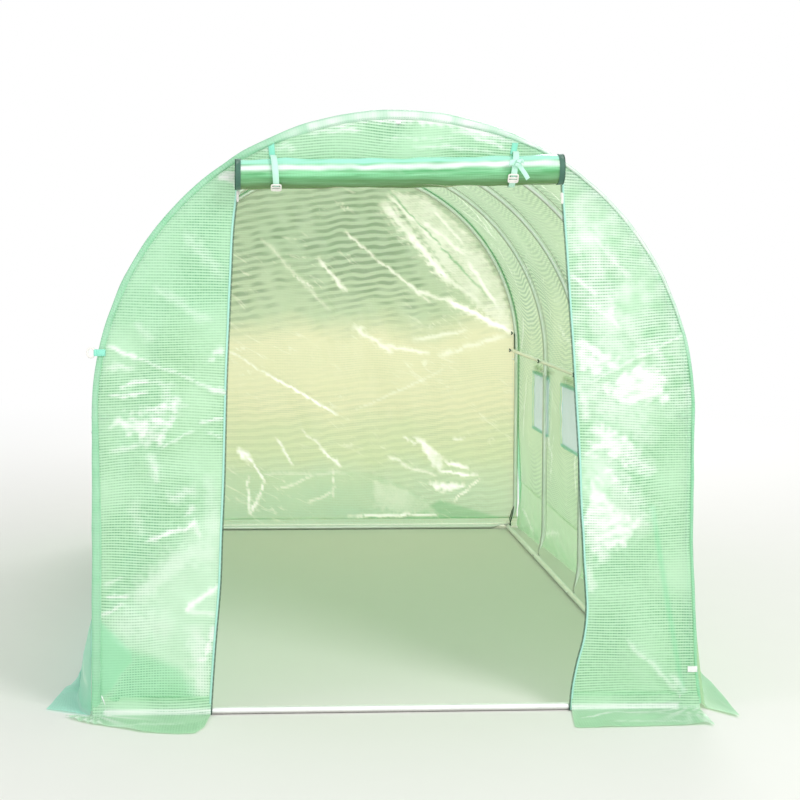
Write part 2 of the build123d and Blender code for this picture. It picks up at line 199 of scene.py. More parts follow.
# Where the left panel's threads show as dots, where none show, and where painted shade of the shadowed
# ground behind makes them darkest
DOTTED = (
    (-0.975, 0.332), (-0.887, 0.388), (-0.779, 0.480), (-0.707, 0.552), (-0.681, 0.651), (-0.54, 0.680),
    (-0.58, 0.035), (-0.697, 0.053), (-0.720, 0.147), (-0.868, 0.215),
)
PLAIN = ((-0.985, 0.330), (-0.874, 0.218), (-0.868, 0.182), (-0.907, 0.139), (-0.937, 0.089),
         (-0.985, 0.050))
DARKEST = (
    (-0.874, 0.218), (-0.812, 0.198), (-0.720, 0.160), (-0.661, 0.086), (-0.661, 0.042), (-0.950, 0.046),
    (-0.937, 0.089), (-0.907, 0.139), (-0.868, 0.182),
)
RIGHT_FOLDS = (
    (0.960, 1.265, 0.80, 1.185, 0.005, 0.7, 0.004),
    (0.83, 1.20, 0.625, 1.095, 0.005, 0.5, 0.004),
    (0.583, 1.463, 0.67, 1.397, 0.009, 1.0, 0.003),
    (0.635, 1.365, 0.745, 1.290, 0.010, 0.8, 0.003),
    (0.595, 1.240, 0.71, 1.180, 0.014, 1.2, 0.003),
    (0.61, 1.205, 0.66, 1.15, 0.012, 0.8, 0.0),
    (0.60, 1.10, 0.64, 0.98, 0.020, 0.5, 0.0),
    (0.66, 0.96, 0.75, 0.86, 0.030, 0.9, 0.004),
    (0.72, 0.92, 0.86, 0.80, 0.028, 0.7, 0.0),
    (0.68, 0.80, 0.82, 0.70, 0.030, 0.5, 0.004),
    (0.64, 0.64, 0.70, 0.50, 0.030, 0.7, 0.0),
    (0.64, 0.50, 0.655, 0.40, 0.020, 0.5, 0.0),
    (0.64, 1.60, 0.78, 1.44, 0.016, 0.45, 0.004),
    (0.70, 1.36, 0.93, 1.14, 0.030, 0.28, 0.004),
    (0.60, 1.70, 0.72, 1.20, 0.060, 0.35, 0.0),
    (0.62, 1.10, 0.86, 0.90, 0.060, 0.35, 0.0),
    (0.64, 0.88, 0.84, 0.60, 0.070, 0.40, 0.0),
    (0.776, 0.241, 0.985, 0.030, 0.009, 0.45, 0.006),
    (0.67, 1.02, 0.70, 0.99, 0.010, 0.4, 0.0),
    (0.93, 0.12, 0.985, 0.06, 0.014, 0.5, 0.0),
)
# A teal band that runs down the right panel
TEAL_BAND = ((0.850, 0.690), (0.868, 0.690), (0.926, 0.360), (0.980, 0.060), (0.965, 0.056), (0.908, 0.360))
# Folds of the panel above the doorway
HEAD_FOLDS = (
    (-0.30, 1.925, -0.12, 1.935, 0.010, 0.5, 0.002),
    (0.05, 1.885, 0.32, 1.865, 0.006, 0.5, 0.003),
    (0.18, 1.935, 0.42, 1.895, 0.009, 0.6, 0.002),
    (-0.45, 1.87, -0.36, 1.875, 0.008, 0.4, 0.0),
    (-0.05, 1.905, 0.20, 1.912, 0.005, 0.35, 0.0),
    (-0.30, 1.945, -0.05, 1.972, 0.010, 0.8, 0.0),
    (-0.10, 1.972, 0.20, 1.962, 0.014, 1.0, 0.0),
    (0.16, 1.960, 0.36, 1.905, 0.012, 1.0, 0.0),
    (0.246, 1.918, 0.37, 1.872, 0.008, 0.9, 0.001),
    (0.14, 1.888, 0.25, 1.868, 0.006, 0.5, 0.001),
    (-0.385, 1.890, -0.345, 1.858, 0.008, 0.7, 0.0),
    (-0.22, 1.952, -0.13, 1.932, 0.008, 0.8, 0.001),
)
# Outlines of (across, up) on the back sheet that shine, with how brightly
BACK_PATCHES = (
    (((0.269, 1.871), (0.473, 1.834), (0.724, 1.626), (0.892, 1.379), (0.961, 1.130), (0.923, 1.102),
      (0.726, 1.268), (0.558, 1.477), (0.402, 1.680)), 0.42),
    (((0.430, 0.509), (0.486, 0.484), (0.582, 0.388), (0.582, 0.342), (0.550, 0.325), (0.470, 0.437)),
     0.85),
    (((0.511, 0.253), (0.695, 0.245), (0.710, 0.233), (0.583, 0.206), (0.550, 0.221)), 1.0),
    (((-0.540, 0.451), (-0.504, 0.424), (-0.480, 0.390), (-0.520, 0.395), (-0.552, 0.430)), 0.9),
    (((0.200, 0.270), (0.36, 0.225), (0.50, 0.150), (0.545, 0.090), (0.40, 0.084), (0.20, 0.120)), 0.22),
)
BACK_FOLDS = (
    (-0.600, 0.985, -0.33, 0.826, 0.006, 0.5, -0.004),
    (-0.40, 0.866, -0.005, 0.634, 0.008, 1.0, -0.006),
    (0.24, 1.80, 0.40, 1.62, 0.040, 0.55, -0.004),
    (0.36, 1.66, 0.62, 1.36, 0.030, 0.75, -0.004),
    (0.44, 1.72, 0.72, 1.50, 0.022, 0.6, -0.004),
    (0.56, 1.42, 0.80, 1.24, 0.016, 0.5, -0.003),
    (0.590, 1.270, 0.965, 1.090, 0.020, 0.9, -0.006),
    (0.40, 1.33, 0.66, 1.24, 0.010, 0.55, -0.003),
    (0.033, 1.64, 0.20, 1.50, 0.010, 0.6, -0.003),
    (0.20, 1.50, 0.50, 1.26, 0.009, 0.65, -0.004),
    (-0.115, 1.497, 0.04, 1.315, 0.012, 0.65, -0.003),
    (-0.25, 1.40, -0.14, 1.33, 0.005, 0.5, -0.002),
    (-0.42, 1.60, -0.05, 1.21, 0.012, 0.25, -0.003),
    (0.08, 1.12, 0.30, 0.98, 0.016, 0.6, -0.003),
    (0.26, 1.02, 0.50, 0.97, 0.013, 0.6, -0.003),
    (0.42, 1.05, 0.70, 1.10, 0.012, 0.45, -0.003),
    (0.55, 0.96, 0.92, 1.07, 0.014, 0.4, -0.003),
    (0.10, 0.66, 0.58, 0.88, 0.007, 0.3, -0.002),
    (-0.530, 0.442, -0.464, 0.371, 0.008, 1.0, -0.006),
    (-0.464, 0.371, -0.411, 0.264, 0.008, 1.0, -0.006),
    (-0.411, 0.264, -0.430, 0.178, 0.008, 0.9, -0.006),
    (-0.430, 0.178, -0.490, 0.085, 0.009, 0.9, -0.004),
    (-0.490, 0.085, -0.495, 0.300, 0.006, 0.9, -0.004),
    (-0.339, 0.503, -0.246, 0.350, 0.007, 0.8, -0.003),
    (-0.199, 0.549, -0.060, 0.430, 0.008, 0.5, -0.003),
    (-0.100, 0.450, 0.019, 0.345, 0.011, 0.9, -0.003),
    (-0.338, 0.212, -0.132, 0.303, 0.007, 0.45, -0.002),
    (-0.159, 0.150, -0.027, 0.211, 0.008, 0.5, -0.002),
    (-0.024, 0.327, -0.023, 0.180, 0.006, 0.6, -0.001),
    (-0.435, 0.312, 0.039, 0.310, 0.010, 0.25, 0.0),
    (0.280, 0.406, 0.415, 0.333, 0.009, 0.5, -0.003),
    (0.415, 0.333, 0.543, 0.297, 0.009, 0.5, -0.003),
    (0.365, 0.509, 0.432, 0.470, 0.009, 0.6, -0.003),
    (0.588, 0.375, 0.726, 0.336, 0.010, 1.0, -0.003),
    (0.566, 0.317, 0.773, 0.296, 0.010, 1.0, -0.003),
    (0.790, 0.276, 0.639, 0.154, 0.007, 0.8, -0.003),
    (0.640, 0.490, 0.710, 0.510, 0.008, 0.6, -0.002),
    (0.551, 0.080, 0.060, 0.070, 0.008, 0.9, -0.003),
    (0.274, 1.840, 0.560, 1.560, 0.018, 0.6, -0.003),
    (0.500, 1.780, 0.700, 1.560, 0.016, 0.6, -0.003),
    (0.700, 1.500, 0.900, 1.200, 0.018, 0.7, -0.003),
    (-0.85, 1.10, -0.66, 1.30, 0.012, 0.4, -0.004),
    (-0.90, 0.70, -0.68, 0.50, 0.014, 0.5, -0.004),
)
# Where the foot of the back sheet is turned up inside
TURNED_UP = (
    (-0.93, 0.058), (-0.93, 0.300), (-0.62, 0.310), (-0.435, 0.321), (0.140, 0.318), (0.233, 0.287),
    (0.350, 0.239), (0.473, 0.166), (0.529, 0.126), (0.551, 0.082), (0.400, 0.078), (0.0, 0.062),
)
# Beside it the foot of the sheet is coloured darker
DARK_FOOT = ((0.380, 0.062), (0.567, 0.158), (0.932, 0.050), (0.932, 0.020), (0.380, 0.020))


def srgb(red, green, blue):
    """A colour given as 0 to 255 on a screen, as the linear values that shaders take."""
    return tuple(
        c / 12.92 if c <= 0.04045 else ((c + 0.055) / 1.055) ** 2.4
        for c in (red / 255, green / 255, blue / 255)
    )


# Node trees


class Wire:
    """A value in a node tree; arithmetic on it adds Math nodes to the tree."""

    def __init__(self, graph, socket):
        self.graph, self.socket = graph, socket

    def math(self, operation, *others):
        return self.graph.node("ShaderNodeMath", {"operation": operation}, dict(enumerate((self, *others))))

    def __add__(self, other):
        return self.math("ADD", other)

    def __mul__(self, other):
        return self.math("MULTIPLY", other)

    def __sub__(self, other):
        return self.math("SUBTRACT", other)

    def __truediv__(self, other):
        return self.math("DIVIDE", other)

    def __rsub__(self, other):
        return self.graph.node("ShaderNodeMath", {"operation": "SUBTRACT"}, {0: other, 1: self})

    __radd__ = __add__
    __rmul__ = __mul__

    def clamped(self):
        return self.graph.node("ShaderNodeMath", {"operation": "ADD", "use_clamp": True}, {0: self, 1: 0.0})

    def zigzag(self):
        """0 at whole numbers, rising to 1 half way between them."""
        return self.math("PINGPONG", 0.5) * 2.0

    def step(self, low, high):
        """A smooth step from 0 below low to 1 above high."""
        sizes = {"Value": self, "From Min": low, "From Max": high}
        return self.graph.node("ShaderNodeMapRange", {"interpolation_type": "SMOOTHSTEP"}, sizes)


class Graph:
    """A node tree with one way to add nodes to it."""

    def __init__(self, tree):
        self.tree = tree

    def node(self, kind, settings=None, inputs=None, output=None):
        """Adds a node, sets its settings and then its sockets, and returns one of its outputs as a Wire."""
        made = self.tree.nodes.new(kind)
        for key, value in (settings or {}).items():
            if key == "stops":
                self.set_stops(made.color_ramp, value)
            else:
                setattr(made, key, value)
        for key, value in (inputs or {}).items():
            if isinstance(key, int):
                socket = made.inputs[key]
            else:
                socket = next(s for s in made.inputs if s.name == key and s.enabled)
            if isinstance(value, Wire):
                self.tree.links.new(value.socket, socket)
            elif value is not None:
                socket.default_value = value
        shown = [s for s in made.outputs if s.enabled and output in (None, s.name)]
        return Wire(self, shown[0]) if shown else made

    @staticmethod
    def set_stops(ramp, stops):
        """Gives a colour ramp its (place, colour) stops; a third number is the stop's alpha."""
        for _ in range(len(stops) - len(ramp.elements)):
            ramp.elements.new(1.0)
        for element, (place, colour, *alpha) in zip(ramp.elements, stops):
            element.position = place
            element.color = (*colour, *(alpha or (1.0,)))


class Finish(Graph):
    """A material made of procedural nodes."""

    def __init__(self, name):
        self.material = bpy.data.materials.new(name)
        self.material.use_nodes = True
        super().__init__(self.material.node_tree)
        self.tree.nodes.clear()

    def place(self):
        """The piece's own coordinates, in metres."""
        return self.node("ShaderNodeTexCoord", output="Object")

    def cloth(self):
        """The across and along coordinates of the piece's own UV map, in metres."""
        uv = self.node("ShaderNodeUVMap", {"uv_map": "cloth"})
        return self.axis(uv, "X"), self.axis(uv, "Y"), uv

    def axis(self, vector, name):
        return self.node("ShaderNodeSeparateXYZ", None, {"Vector": vector}, name)

    def field(self, name):
        """A number stored on the points of the mesh."""
        return self.node("ShaderNodeAttribute", {"attribute_name": name}, output="Fac")

    def noise(self, vector, scale, detail=2.0, roughness=0.5):
        sizes = {"Vector": vector, "Scale": scale, "Detail": detail, "Roughness": roughness}
        return self.node("ShaderNodeTexNoise", None, sizes, "Fac")

    def blend(self, share, first, second, how="MIX"):
        """Mixes two colours."""
        first, second = (c if isinstance(c, Wire) else (*c, 1.0) for c in (first, second))
        settings = {"data_type": "RGBA", "blend_type": how}
        return self.node("ShaderNodeMix", settings, {"Factor": share, "A": first, "B": second}, "Result")

    def bump(self, height, distance, strength):
        relief = {"Height": height, "Distance": distance, "Strength": strength}
        return self.node("ShaderNodeBump", None, relief)

    def stretched(self, vector, across, along):
        """Cloth coordinates with a pattern of its own scale in each direction."""
        return self.node("ShaderNodeMapping", None, {"Vector": vector, "Scale": (across, along, 1.0)})

    def surface(self, **sockets):
        """The main shader, with socket names written with underscores."""
        named = {key.replace("_", " "): value for key, value in sockets.items()}
        for key, value in named.items():
            if isinstance(value, tuple) and len(value) == 3:
                named[key] = (*value, 1.0)
        return self.node("ShaderNodeBsdfPrincipled", None, named)

    def layered(self, share, first, second):
        return self.node("ShaderNodeMixShader", None, {0: share, 1: first, 2: second})

    def done(self, shader):
        self.node("ShaderNodeOutputMaterial", None, {"Surface": shader})
        return self.material


def film_finish(
    name, look, thread, cell, glow, clear, tones=None, solid=0.86, through=0.46, shade=None, lamp=0.4
):
    """Woven reinforced film: pale threads round darker cells, glossy, and lit through from behind.

    glow is the colour of light that comes through and clear the tint of what shows through; solid is
    the share that isn't clear. tones tints the film by height with painted light and shade, with the part
    of the light that is kept there, and shade is the colour of its ripples. through is the share of light
    from behind and lamp what the shining parts keep of it. The mesh says where the film shines with a
    painted highlight, where it lies doubled and where painted shade darkens it, and how its threads and
    ripples show."""
    f = Finish(name)
    across, along, uv = f.cloth()
    glare, double, dots, depth = (f.field(n) for n in ("glare", "double", "dots", "depth"))
    row = (along / look.weave_pitch).zigzag().step(0.40, 0.66)
    column = (across / look.weave_pitch).zigzag().step(0.18, 0.50)
    spread = f.noise(uv, 16.0, 2.0)
    fleck = f.noise(uv, 60.0, 2.0).step(0.35, 0.6)
    cut = column * (dots * 0.55 + 0.45) + (1.0 - dots) * 0.55
    cells = (row * cut * depth * (fleck * 0.35 + 0.7)).clamped()
    colour = f.blend(cells, thread, cell)
    share, spark = through, 0.0
    if tones:
        high = (f.axis(f.place(), "Z") / 2.0 + (f.noise(uv, 3.0, 2.0) - 0.5) * 0.12).clamped()
        ramp = f.node("ShaderNodeValToRGB", {"stops": tones}, {"Fac": high}, "Color")
        colour = f.blend(1.0, colour, ramp, "MULTIPLY")
        share = Wire(f, ramp.socket.node.outputs["Alpha"]) * through
        slant = {"Vector": uv, "Rotation": (0.0, 0.0, -0.55), "Scale": (0.16, 0.045, 1.0)}
        slant = f.node("ShaderNodeMapping", {"vector_type": "TEXTURE"}, slant)
        creased = {"Vector": slant, "Scale": 1.0, "Detail": 4.0, "Roughness": 0.6, "Distortion": 1.4}
        spark = f.node("ShaderNodeTexNoise", None, creased, "Fac").step(0.54, 0.74)
        spark = spark * f.noise(uv, 2.6).step(0.42, 0.62) * 0.3
    if shade:
        wave = ((f.field("phase") * math.tau).math("SINE") * 0.5 + 0.5).step(0.15, 0.85)
        wave = (wave * f.field("ripple")).clamped()
        colour = f.blend(wave, colour, shade)
        share = (1.0 - wave * 0.6) * share
    # Doubled film and painted shade both colour the film darker green
    colour = f.blend((double * 0.8).clamped(), colour, srgb(118, 214, 160))
    shine = (glare * (spread * 0.5 + 0.8) * (1.0 - cells * 0.5) + spark).clamped()
    colour = f.blend(shine, colour, srgb(253, 255, 251))
    crinkle = f.noise(uv, 26.0, 4.0, 0.62) * 0.7 + f.noise(uv, 7.0, 2.0) * 1.6
    relief = f.bump(crinkle + (1.0 - row) * 0.05, 0.004, 0.55)
    skin = f.surface(
        Base_Color=colour,
        Roughness=spread * 0.22 + 0.22,
        Specular_IOR_Level=0.55,
        Coat_Weight=0.3,
        Coat_Roughness=0.15,
        Normal=relief,
    )
    tinted, white = (f.node("ShaderNodeBsdfTranslucent", None, {"Color": (*c, 1.0), "Normal": relief})
                     for c in (glow, srgb(252, 255, 248)))
    passing = f.layered(shine, tinted, white)
    share = share * (1.0 - double * 0.45)
    lit = f.layered((share + shine * (lamp * through - share)).clamped(), skin, passing)
    open_film = f.node("ShaderNodeBsdfTransparent", None, {"Color": (*clear, 1.0)})
    body = ((1.0 - cells) * 0.05 + shine * 0.3 + double * 0.08 + solid).clamped()
    return f.done(f.layered(body, open_film, lit))


def steel_finish(name, look):
    """Galvanised tube: faint zinc grains and duller patches, with painted shade along the sides that face
    away from the light.
    """
    f = Finish(name)
    place = f.place()
    grains = f.node("ShaderNodeTexVoronoi", {"feature": "F1"}, {"Vector": place, "Scale": 150.0}, "Color")
    grain = f.axis(grains, "X")
    dull = f.noise(place, 7.0, 4.0, 0.6)
    fine = f.noise(place, 420.0, 2.0)
    tone = f.blend((dull.step(0.4, 0.75) * 0.3).clamped(), look.steel_colour, srgb(206, 208, 208))
    tone = f.blend((grain * 0.25).clamped(), tone, srgb(248, 248, 250))
    # Painted shade on the sides of the tube that face away from the light
    tone = f.blend((f.field("edge") * 0.60).clamped(), tone, srgb(126, 120, 110))
    return f.done(
        f.surface(
            Base_Color=tone,
            Metallic=0.5,
            Roughness=grain * 0.03 + dull * 0.12 + 0.24,
            Normal=f.bump(fine * 0.3 + grain * 0.1, 0.0002, 0.02),
        )
    )


def roll_finish(name, look):
    """Film wound up in many layers, glossy, with lengthwise wrinkles; painted light makes its top pale and
    painted shade its underside deep green.
    """
    f = Finish(name)
    across, _, uv = f.cloth()
    streak = f.noise(f.stretched(uv, 2.2, 55.0), 1.0, 4.0, 0.62)
    patch = f.noise(uv, 7.0, 3.0)
    low = f.field("low")
    line = f.noise(f.stretched(uv, 5.0, 190.0), 1.0, 3.0, 0.6)
    tone = f.blend(streak.step(0.30, 0.66), look.roll_colour, srgb(132, 216, 156))
    tone = f.blend(line.step(0.48, 0.60) * 0.5, tone, srgb(72, 156, 88))
    # Painted shade: the underside of the roll is coloured dark olive
    tone = f.blend((low * (1.25 - streak * 0.6)).clamped(), tone, srgb(92, 124, 68))
    # Painted light: the top of the roll is coloured pale mint
    tone = f.blend(f.field("high") * 0.8, tone, srgb(172, 246, 222))
    gleam = (f.field("glare") * (patch * 0.9 + 0.15 + line * 0.5)).clamped()
    tone = f.blend(gleam, tone, srgb(246, 255, 250))
    rib = (across / look.weave_pitch).zigzag().step(0.3, 0.7) * streak.step(0.4, 0.7)
    tone = f.blend((rib * 0.10).clamped(), tone, srgb(70, 130, 84))
    return f.done(
        f.surface(
            Base_Color=tone,
            Roughness=streak * 0.16 + 0.16,
            Coat_Weight=0.5,
            Coat_Roughness=0.12,
            Specular_IOR_Level=0.6,
            Normal=f.bump(streak + patch * 0.4, 0.0035, 0.5),
        )
    )


def tape_finish(name, colour, dark, pitch=0.0022, pale=None):
    """Woven tape or webbing: a fine rib across it and faint wear, with a painted sheen in front of the place
    pale.
    """
    f = Finish(name)
    across, along, uv = f.cloth()
    rib = (along / pitch).zigzag()
    twill = ((along + across) / (pitch * 1.7)).zigzag().step(0.3, 0.8)
    worn = f.noise(uv, 34.0, 3.0)
    tone = f.blend((twill * 0.35 + worn * 0.25).clamped(), colour, dark)
    tone = f.blend((worn.step(0.60, 0.85) * 0.45).clamped(), tone, srgb(236, 246, 240))
    if pale:
        # Painted sheen: paler where the webbing lies in front of the place pale
        ahead = 1.0 - f.axis(f.place(), "Y").step(pale - 0.03, pale)
        tone = f.blend(ahead * 0.6, tone, srgb(222, 250, 232))
    return f.done(
        f.surface(
            Base_Color=tone,
            Roughness=worn * 0.25 + 0.42,
            Sheen_Weight=0.25,
            Normal=f.bump(rib * 0.6 + twill * 0.4, 0.0006, 0.6),
        )
    )


def plastic_finish(name, colour, dark, rough=0.32):
    """Moulded plastic: a faint orange-peel skin, scuffs and handling marks."""
    f = Finish(name)
    place = f.place()
    peel = f.noise(place, 900.0, 2.0)
    scuff = f.noise(place, 60.0, 4.0, 0.65)
    tone = f.blend((scuff.step(0.5, 0.8) * 0.5).clamped(), colour, dark)
    return f.done(
        f.surface(
            Base_Color=tone,
            Roughness=scuff * 0.2 + rough,
            Normal=f.bump(peel, 0.0004, 0.4),
        )
    )


def net_finish(name, look):
    """Fine insect net: thin pale threads round open holes."""
    f = Finish(name)
    across, along, uv = f.cloth()
    mesh = 0.0030
    threads = (across / mesh).zigzag().math("MINIMUM", (along / mesh).zigzag()).step(0.20, 0.42)
    cloud = f.noise(uv, 9.0, 3.0)
    fold_highlight = f.field("glare")
    tone = f.blend(cloud, look.net_colour, srgb(222, 238, 232))
    # Painted highlight along the folds of the net
    tone = f.blend((fold_highlight * 0.8).clamped(), tone, srgb(246, 250, 250))
    skin = f.surface(Base_Color=tone, Roughness=0.62, Sheen_Weight=0.3, Normal=f.bump(cloud, 0.002, 0.4))
    through = f.node("ShaderNodeBsdfTranslucent", None, {"Color": (*srgb(206, 226, 220), 1.0)})
    lit = f.layered(0.4, skin, through)
    hole = f.node("ShaderNodeBsdfTransparent", None, {"Color": (*srgb(236, 244, 244), 1.0)})
    return f.done(f.layered((0.85 - threads * 0.15).clamped(), hole, lit))


def thread_finish(name, colour):
    """Sewing thread or cord: twisted strands."""
    f = Finish(name)
    place = f.place()
    fuzz = f.noise(place, 700.0, 3.0)
    tone = f.blend(fuzz, colour, tuple(0.55 * c for c in colour))
    return f.done(f.surface(Base_Color=tone, Roughness=0.6, Normal=f.bump(fuzz, 0.0005, 0.6)))


FINISHES = {}


def finish(name):
    """The material of that name, made the first time it is asked for."""
    look = bpy.context.scene.greenhouse_look
    makers = {
        "front film": lambda n: film_finish(
            n, look, look.film_colour, srgb(88, 158, 118), srgb(208, 246, 208), srgb(196, 242, 206),
            through=0.34,
        ),
        "tunnel film": lambda n: film_finish(
            n, look, srgb(250, 252, 246), srgb(150, 192, 156), srgb(212, 236, 196), srgb(210, 238, 210),
            # Painted light and shade by height: paler and warmer at mid height, greener with less light
            # through towards the top
            tones=(
                (0.0, srgb(190, 242, 212)), (0.14, srgb(200, 242, 204)), (0.30, srgb(226, 240, 202)),
                (0.50, srgb(236, 240, 206)), (0.60, srgb(236, 240, 214)), (0.76, srgb(202, 228, 200), 0.84),
                (1.0, srgb(190, 224, 198), 0.78),
            ),
            solid=0.82, through=0.5, shade=srgb(104, 164, 126), lamp=1.6,
        ),
        "back film": lambda n: film_finish(
            n, look, srgb(252, 252, 248), srgb(178, 206, 168), srgb(248, 244, 206), srgb(240, 244, 214),
            # Painted light and shade by height, as of the land seen through the sheet: a warm sunlit band at
            # mid height, shaded teal at the foot and dimmer green above
            tones=(
                (0.0, srgb(152, 226, 220), 0.76), (0.10, srgb(162, 230, 214), 0.80),
                (0.158, srgb(174, 230, 200), 0.84), (0.20, srgb(200, 234, 180), 0.84),
                (0.27, srgb(214, 234, 182), 0.86), (0.34, srgb(250, 240, 196), 0.94),
                (0.52, srgb(252, 240, 202), 0.95), (0.60, srgb(174, 220, 190), 0.66),
                (0.76, srgb(156, 212, 188), 0.54), (1.0, srgb(160, 214, 192), 0.52),
            ),
            through=0.5, shade=srgb(96, 150, 112), lamp=1.9,
        ),
        "hem film": lambda n: film_finish(
            n, look, look.hem_colour, srgb(112, 194, 146), srgb(186, 244, 206), srgb(176, 236, 196),
            solid=0.90, through=0.45,
        ),
        "skirt film": lambda n: film_finish(
            n, look, look.skirt_colour, srgb(192, 240, 224), srgb(190, 240, 228), srgb(190, 236, 226),
            solid=0.88, through=0.6,
        ),
        "rolled film": lambda n: roll_finish(n, look),
        "galvanised steel": lambda n: steel_finish(n, look),
        "zip tape": lambda n: tape_finish(n, look.zip_colour, srgb(140, 214, 194)),
        "dark zip tape": lambda n: tape_finish(n, srgb(66, 116, 96), srgb(28, 66, 54), 0.003),
        "zip coil": lambda n: plastic_finish(n, srgb(38, 78, 62), srgb(20, 48, 40), 0.28),
        "webbing": lambda n: tape_finish(n, look.strap_colour, srgb(104, 204, 178), 0.0026, FRONT - 0.012),
        "window binding": lambda n: film_finish(
            n, look, look.binding_colour, srgb(150, 214, 206), srgb(200, 242, 236), srgb(206, 240, 236),
            solid=0.80, through=0.6,
        ),
        "white plastic": lambda n: plastic_finish(n, srgb(240, 236, 230), srgb(205, 198, 190)),
        "dark plastic": lambda n: plastic_finish(n, srgb(46, 62, 50), srgb(26, 34, 30)),
        "insect net": lambda n: net_finish(n, look),
        "thread": lambda n: thread_finish(n, srgb(206, 240, 220)),
        "tie cord": lambda n: thread_finish(n, srgb(34, 84, 58)),
        "label cloth": lambda n: tape_finish(n, srgb(250, 250, 248), srgb(226, 226, 224), 0.0012),
    }
    if name not in FINISHES:
        FINISHES[name] = makers[name](name)
    return FINISHES[name]


# Shapes


def unit(values):
    """Values held between 0 and 1."""
    return np.clip(values, 0, 1)


def stacked(*coordinates):
    """Points made of an array of each coordinate."""
    return np.stack(coordinates, -1)


def running(steps):
    """How far along a line each of its points lies, from 0."""
    return np.concatenate([[0], np.cumsum(steps)])


def squared(value, power):
    """A cosine or sine that is filled out towards the corners of a square."""
    return np.sign(value) * np.abs(value) ** power


def curve_through(table):
    """A smooth line through (place, value) points, as a function of place."""
    places, values = (np.array(column, float) for column in zip(*table))
    slopes = np.gradient(values, places)

    def at(x):
        x = np.clip(x, places[0], places[-1])
        i = np.clip(np.searchsorted(places, x) - 1, 0, len(places) - 2)
        width = places[i + 1] - places[i]
        t = (x - places[i]) / width
        a, b = values[i], values[i + 1]
        return (
            (2 * t**3 - 3 * t**2 + 1) * a
            + (t**3 - 2 * t**2 + t) * width * slopes[i]
            + (3 * t**2 - 2 * t**3) * b
            + (t**3 - t**2) * width * slopes[i + 1]
        )

    return at


def steps_between(stops, step):
    """Coordinates that run through every stop, about one step apart."""
    made = [stops[0]]
    for a, b in zip(stops, stops[1:]):
        made += list(np.linspace(a, b, max(1, round(abs(b - a) / step)) + 1)[1:])
    return np.array(made)


def waves(u, v, seed, length, stretch=1.0):
    """A smooth field of crossing waves of about that length, mostly between -1 and 1."""
    count = 22
    draw = np.random.default_rng(seed)
    total = np.zeros(np.broadcast(u, v).shape)
    for _ in range(count):
        turn, phase, size = draw.uniform(0, math.tau), draw.uniform(0, math.tau), draw.uniform(0.6, 1.8)
        along = u * math.cos(turn) + v * stretch * math.sin(turn)
        total += np.cos(along * math.tau / (length * size) + phase)
    return total / math.sqrt(count)


def folds_at(u, v, folds, seed=1):
    """How far folds lift the film at each point, and how brightly they shine there."""
    lift, shine = np.zeros(u.shape), np.zeros(u.shape)
    ragged = waves(u, v, seed, 0.030)
    u, v = (c + 0.004 * waves(u, v, seed + k, 0.09) for c, k in ((u, 40), (v, 41)))
    for u0, v0, u1, v1, width, bright, height in folds:
        du, dv = u1 - u0, v1 - v0
        long = math.hypot(du, dv)
        t = ((u - u0) * du + (v - v0) * dv) / long**2
        off = np.abs((u - u0) * dv - (v - v0) * du) / long
        beyond = np.maximum(np.maximum(-t, t - 1), 0) * long
        taper = unit(np.minimum(t, 1 - t) * 5 + 0.25) ** 0.6
        reach = width * (0.75 + 0.35 * ragged)
        near = np.exp(-(off**2 + beyond**2) / np.maximum(reach, width * 0.3) ** 2)
        shine = np.maximum(shine, near * bright * taper)
        lift += height * taper * np.exp(-((off**2 + beyond**2) / (2.2 * width) ** 2))
    return lift, unit(shine)


def woven(u, v, seed, bold=1.0, depth=None):
    """The cloth coordinates of a film, a little out of true, and how strongly its cells show."""
    cloth = stacked(u + 0.003 * waves(u, v, seed, 0.5), v + 0.007 * waves(u, v, seed + 1, 0.5))
    if depth is None:
        depth = bold * np.clip(0.74 + 0.35 * waves(u, v, seed + 2, 0.26), 0.2, 1.0)
    return cloth, depth


def rim_at(z):
    """How far from the middle a sheet that closes an end reaches at each height."""
    return np.sqrt(np.clip(END_RADIUS**2 - np.clip(z - SPRING, 0, None) ** 2, 0, None))


def inside(u, v, outline, soft=0.008):
    """1 for points inside an outline and 0 outside it, with a soft edge."""
    corners = np.array(outline)
    nearest = np.full(u.shape, 9.0)
    within = np.zeros(u.shape, bool)
    for (u0, v0), (u1, v1) in zip(corners, np.roll(corners, -1, 0)):
        du, dv = u1 - u0, v1 - v0
        t = unit(((u - u0) * du + (v - v0) * dv) / (du * du + dv * dv))
        nearest = np.minimum(nearest, np.hypot(u - u0 - t * du, v - v0 - t * dv))
        if v0 != v1:
            within ^= ((v0 > v) != (v1 > v)) & (u < (v - v0) * du / dv + u0)
    return unit(0.5 + np.where(within, nearest, -nearest) / soft)


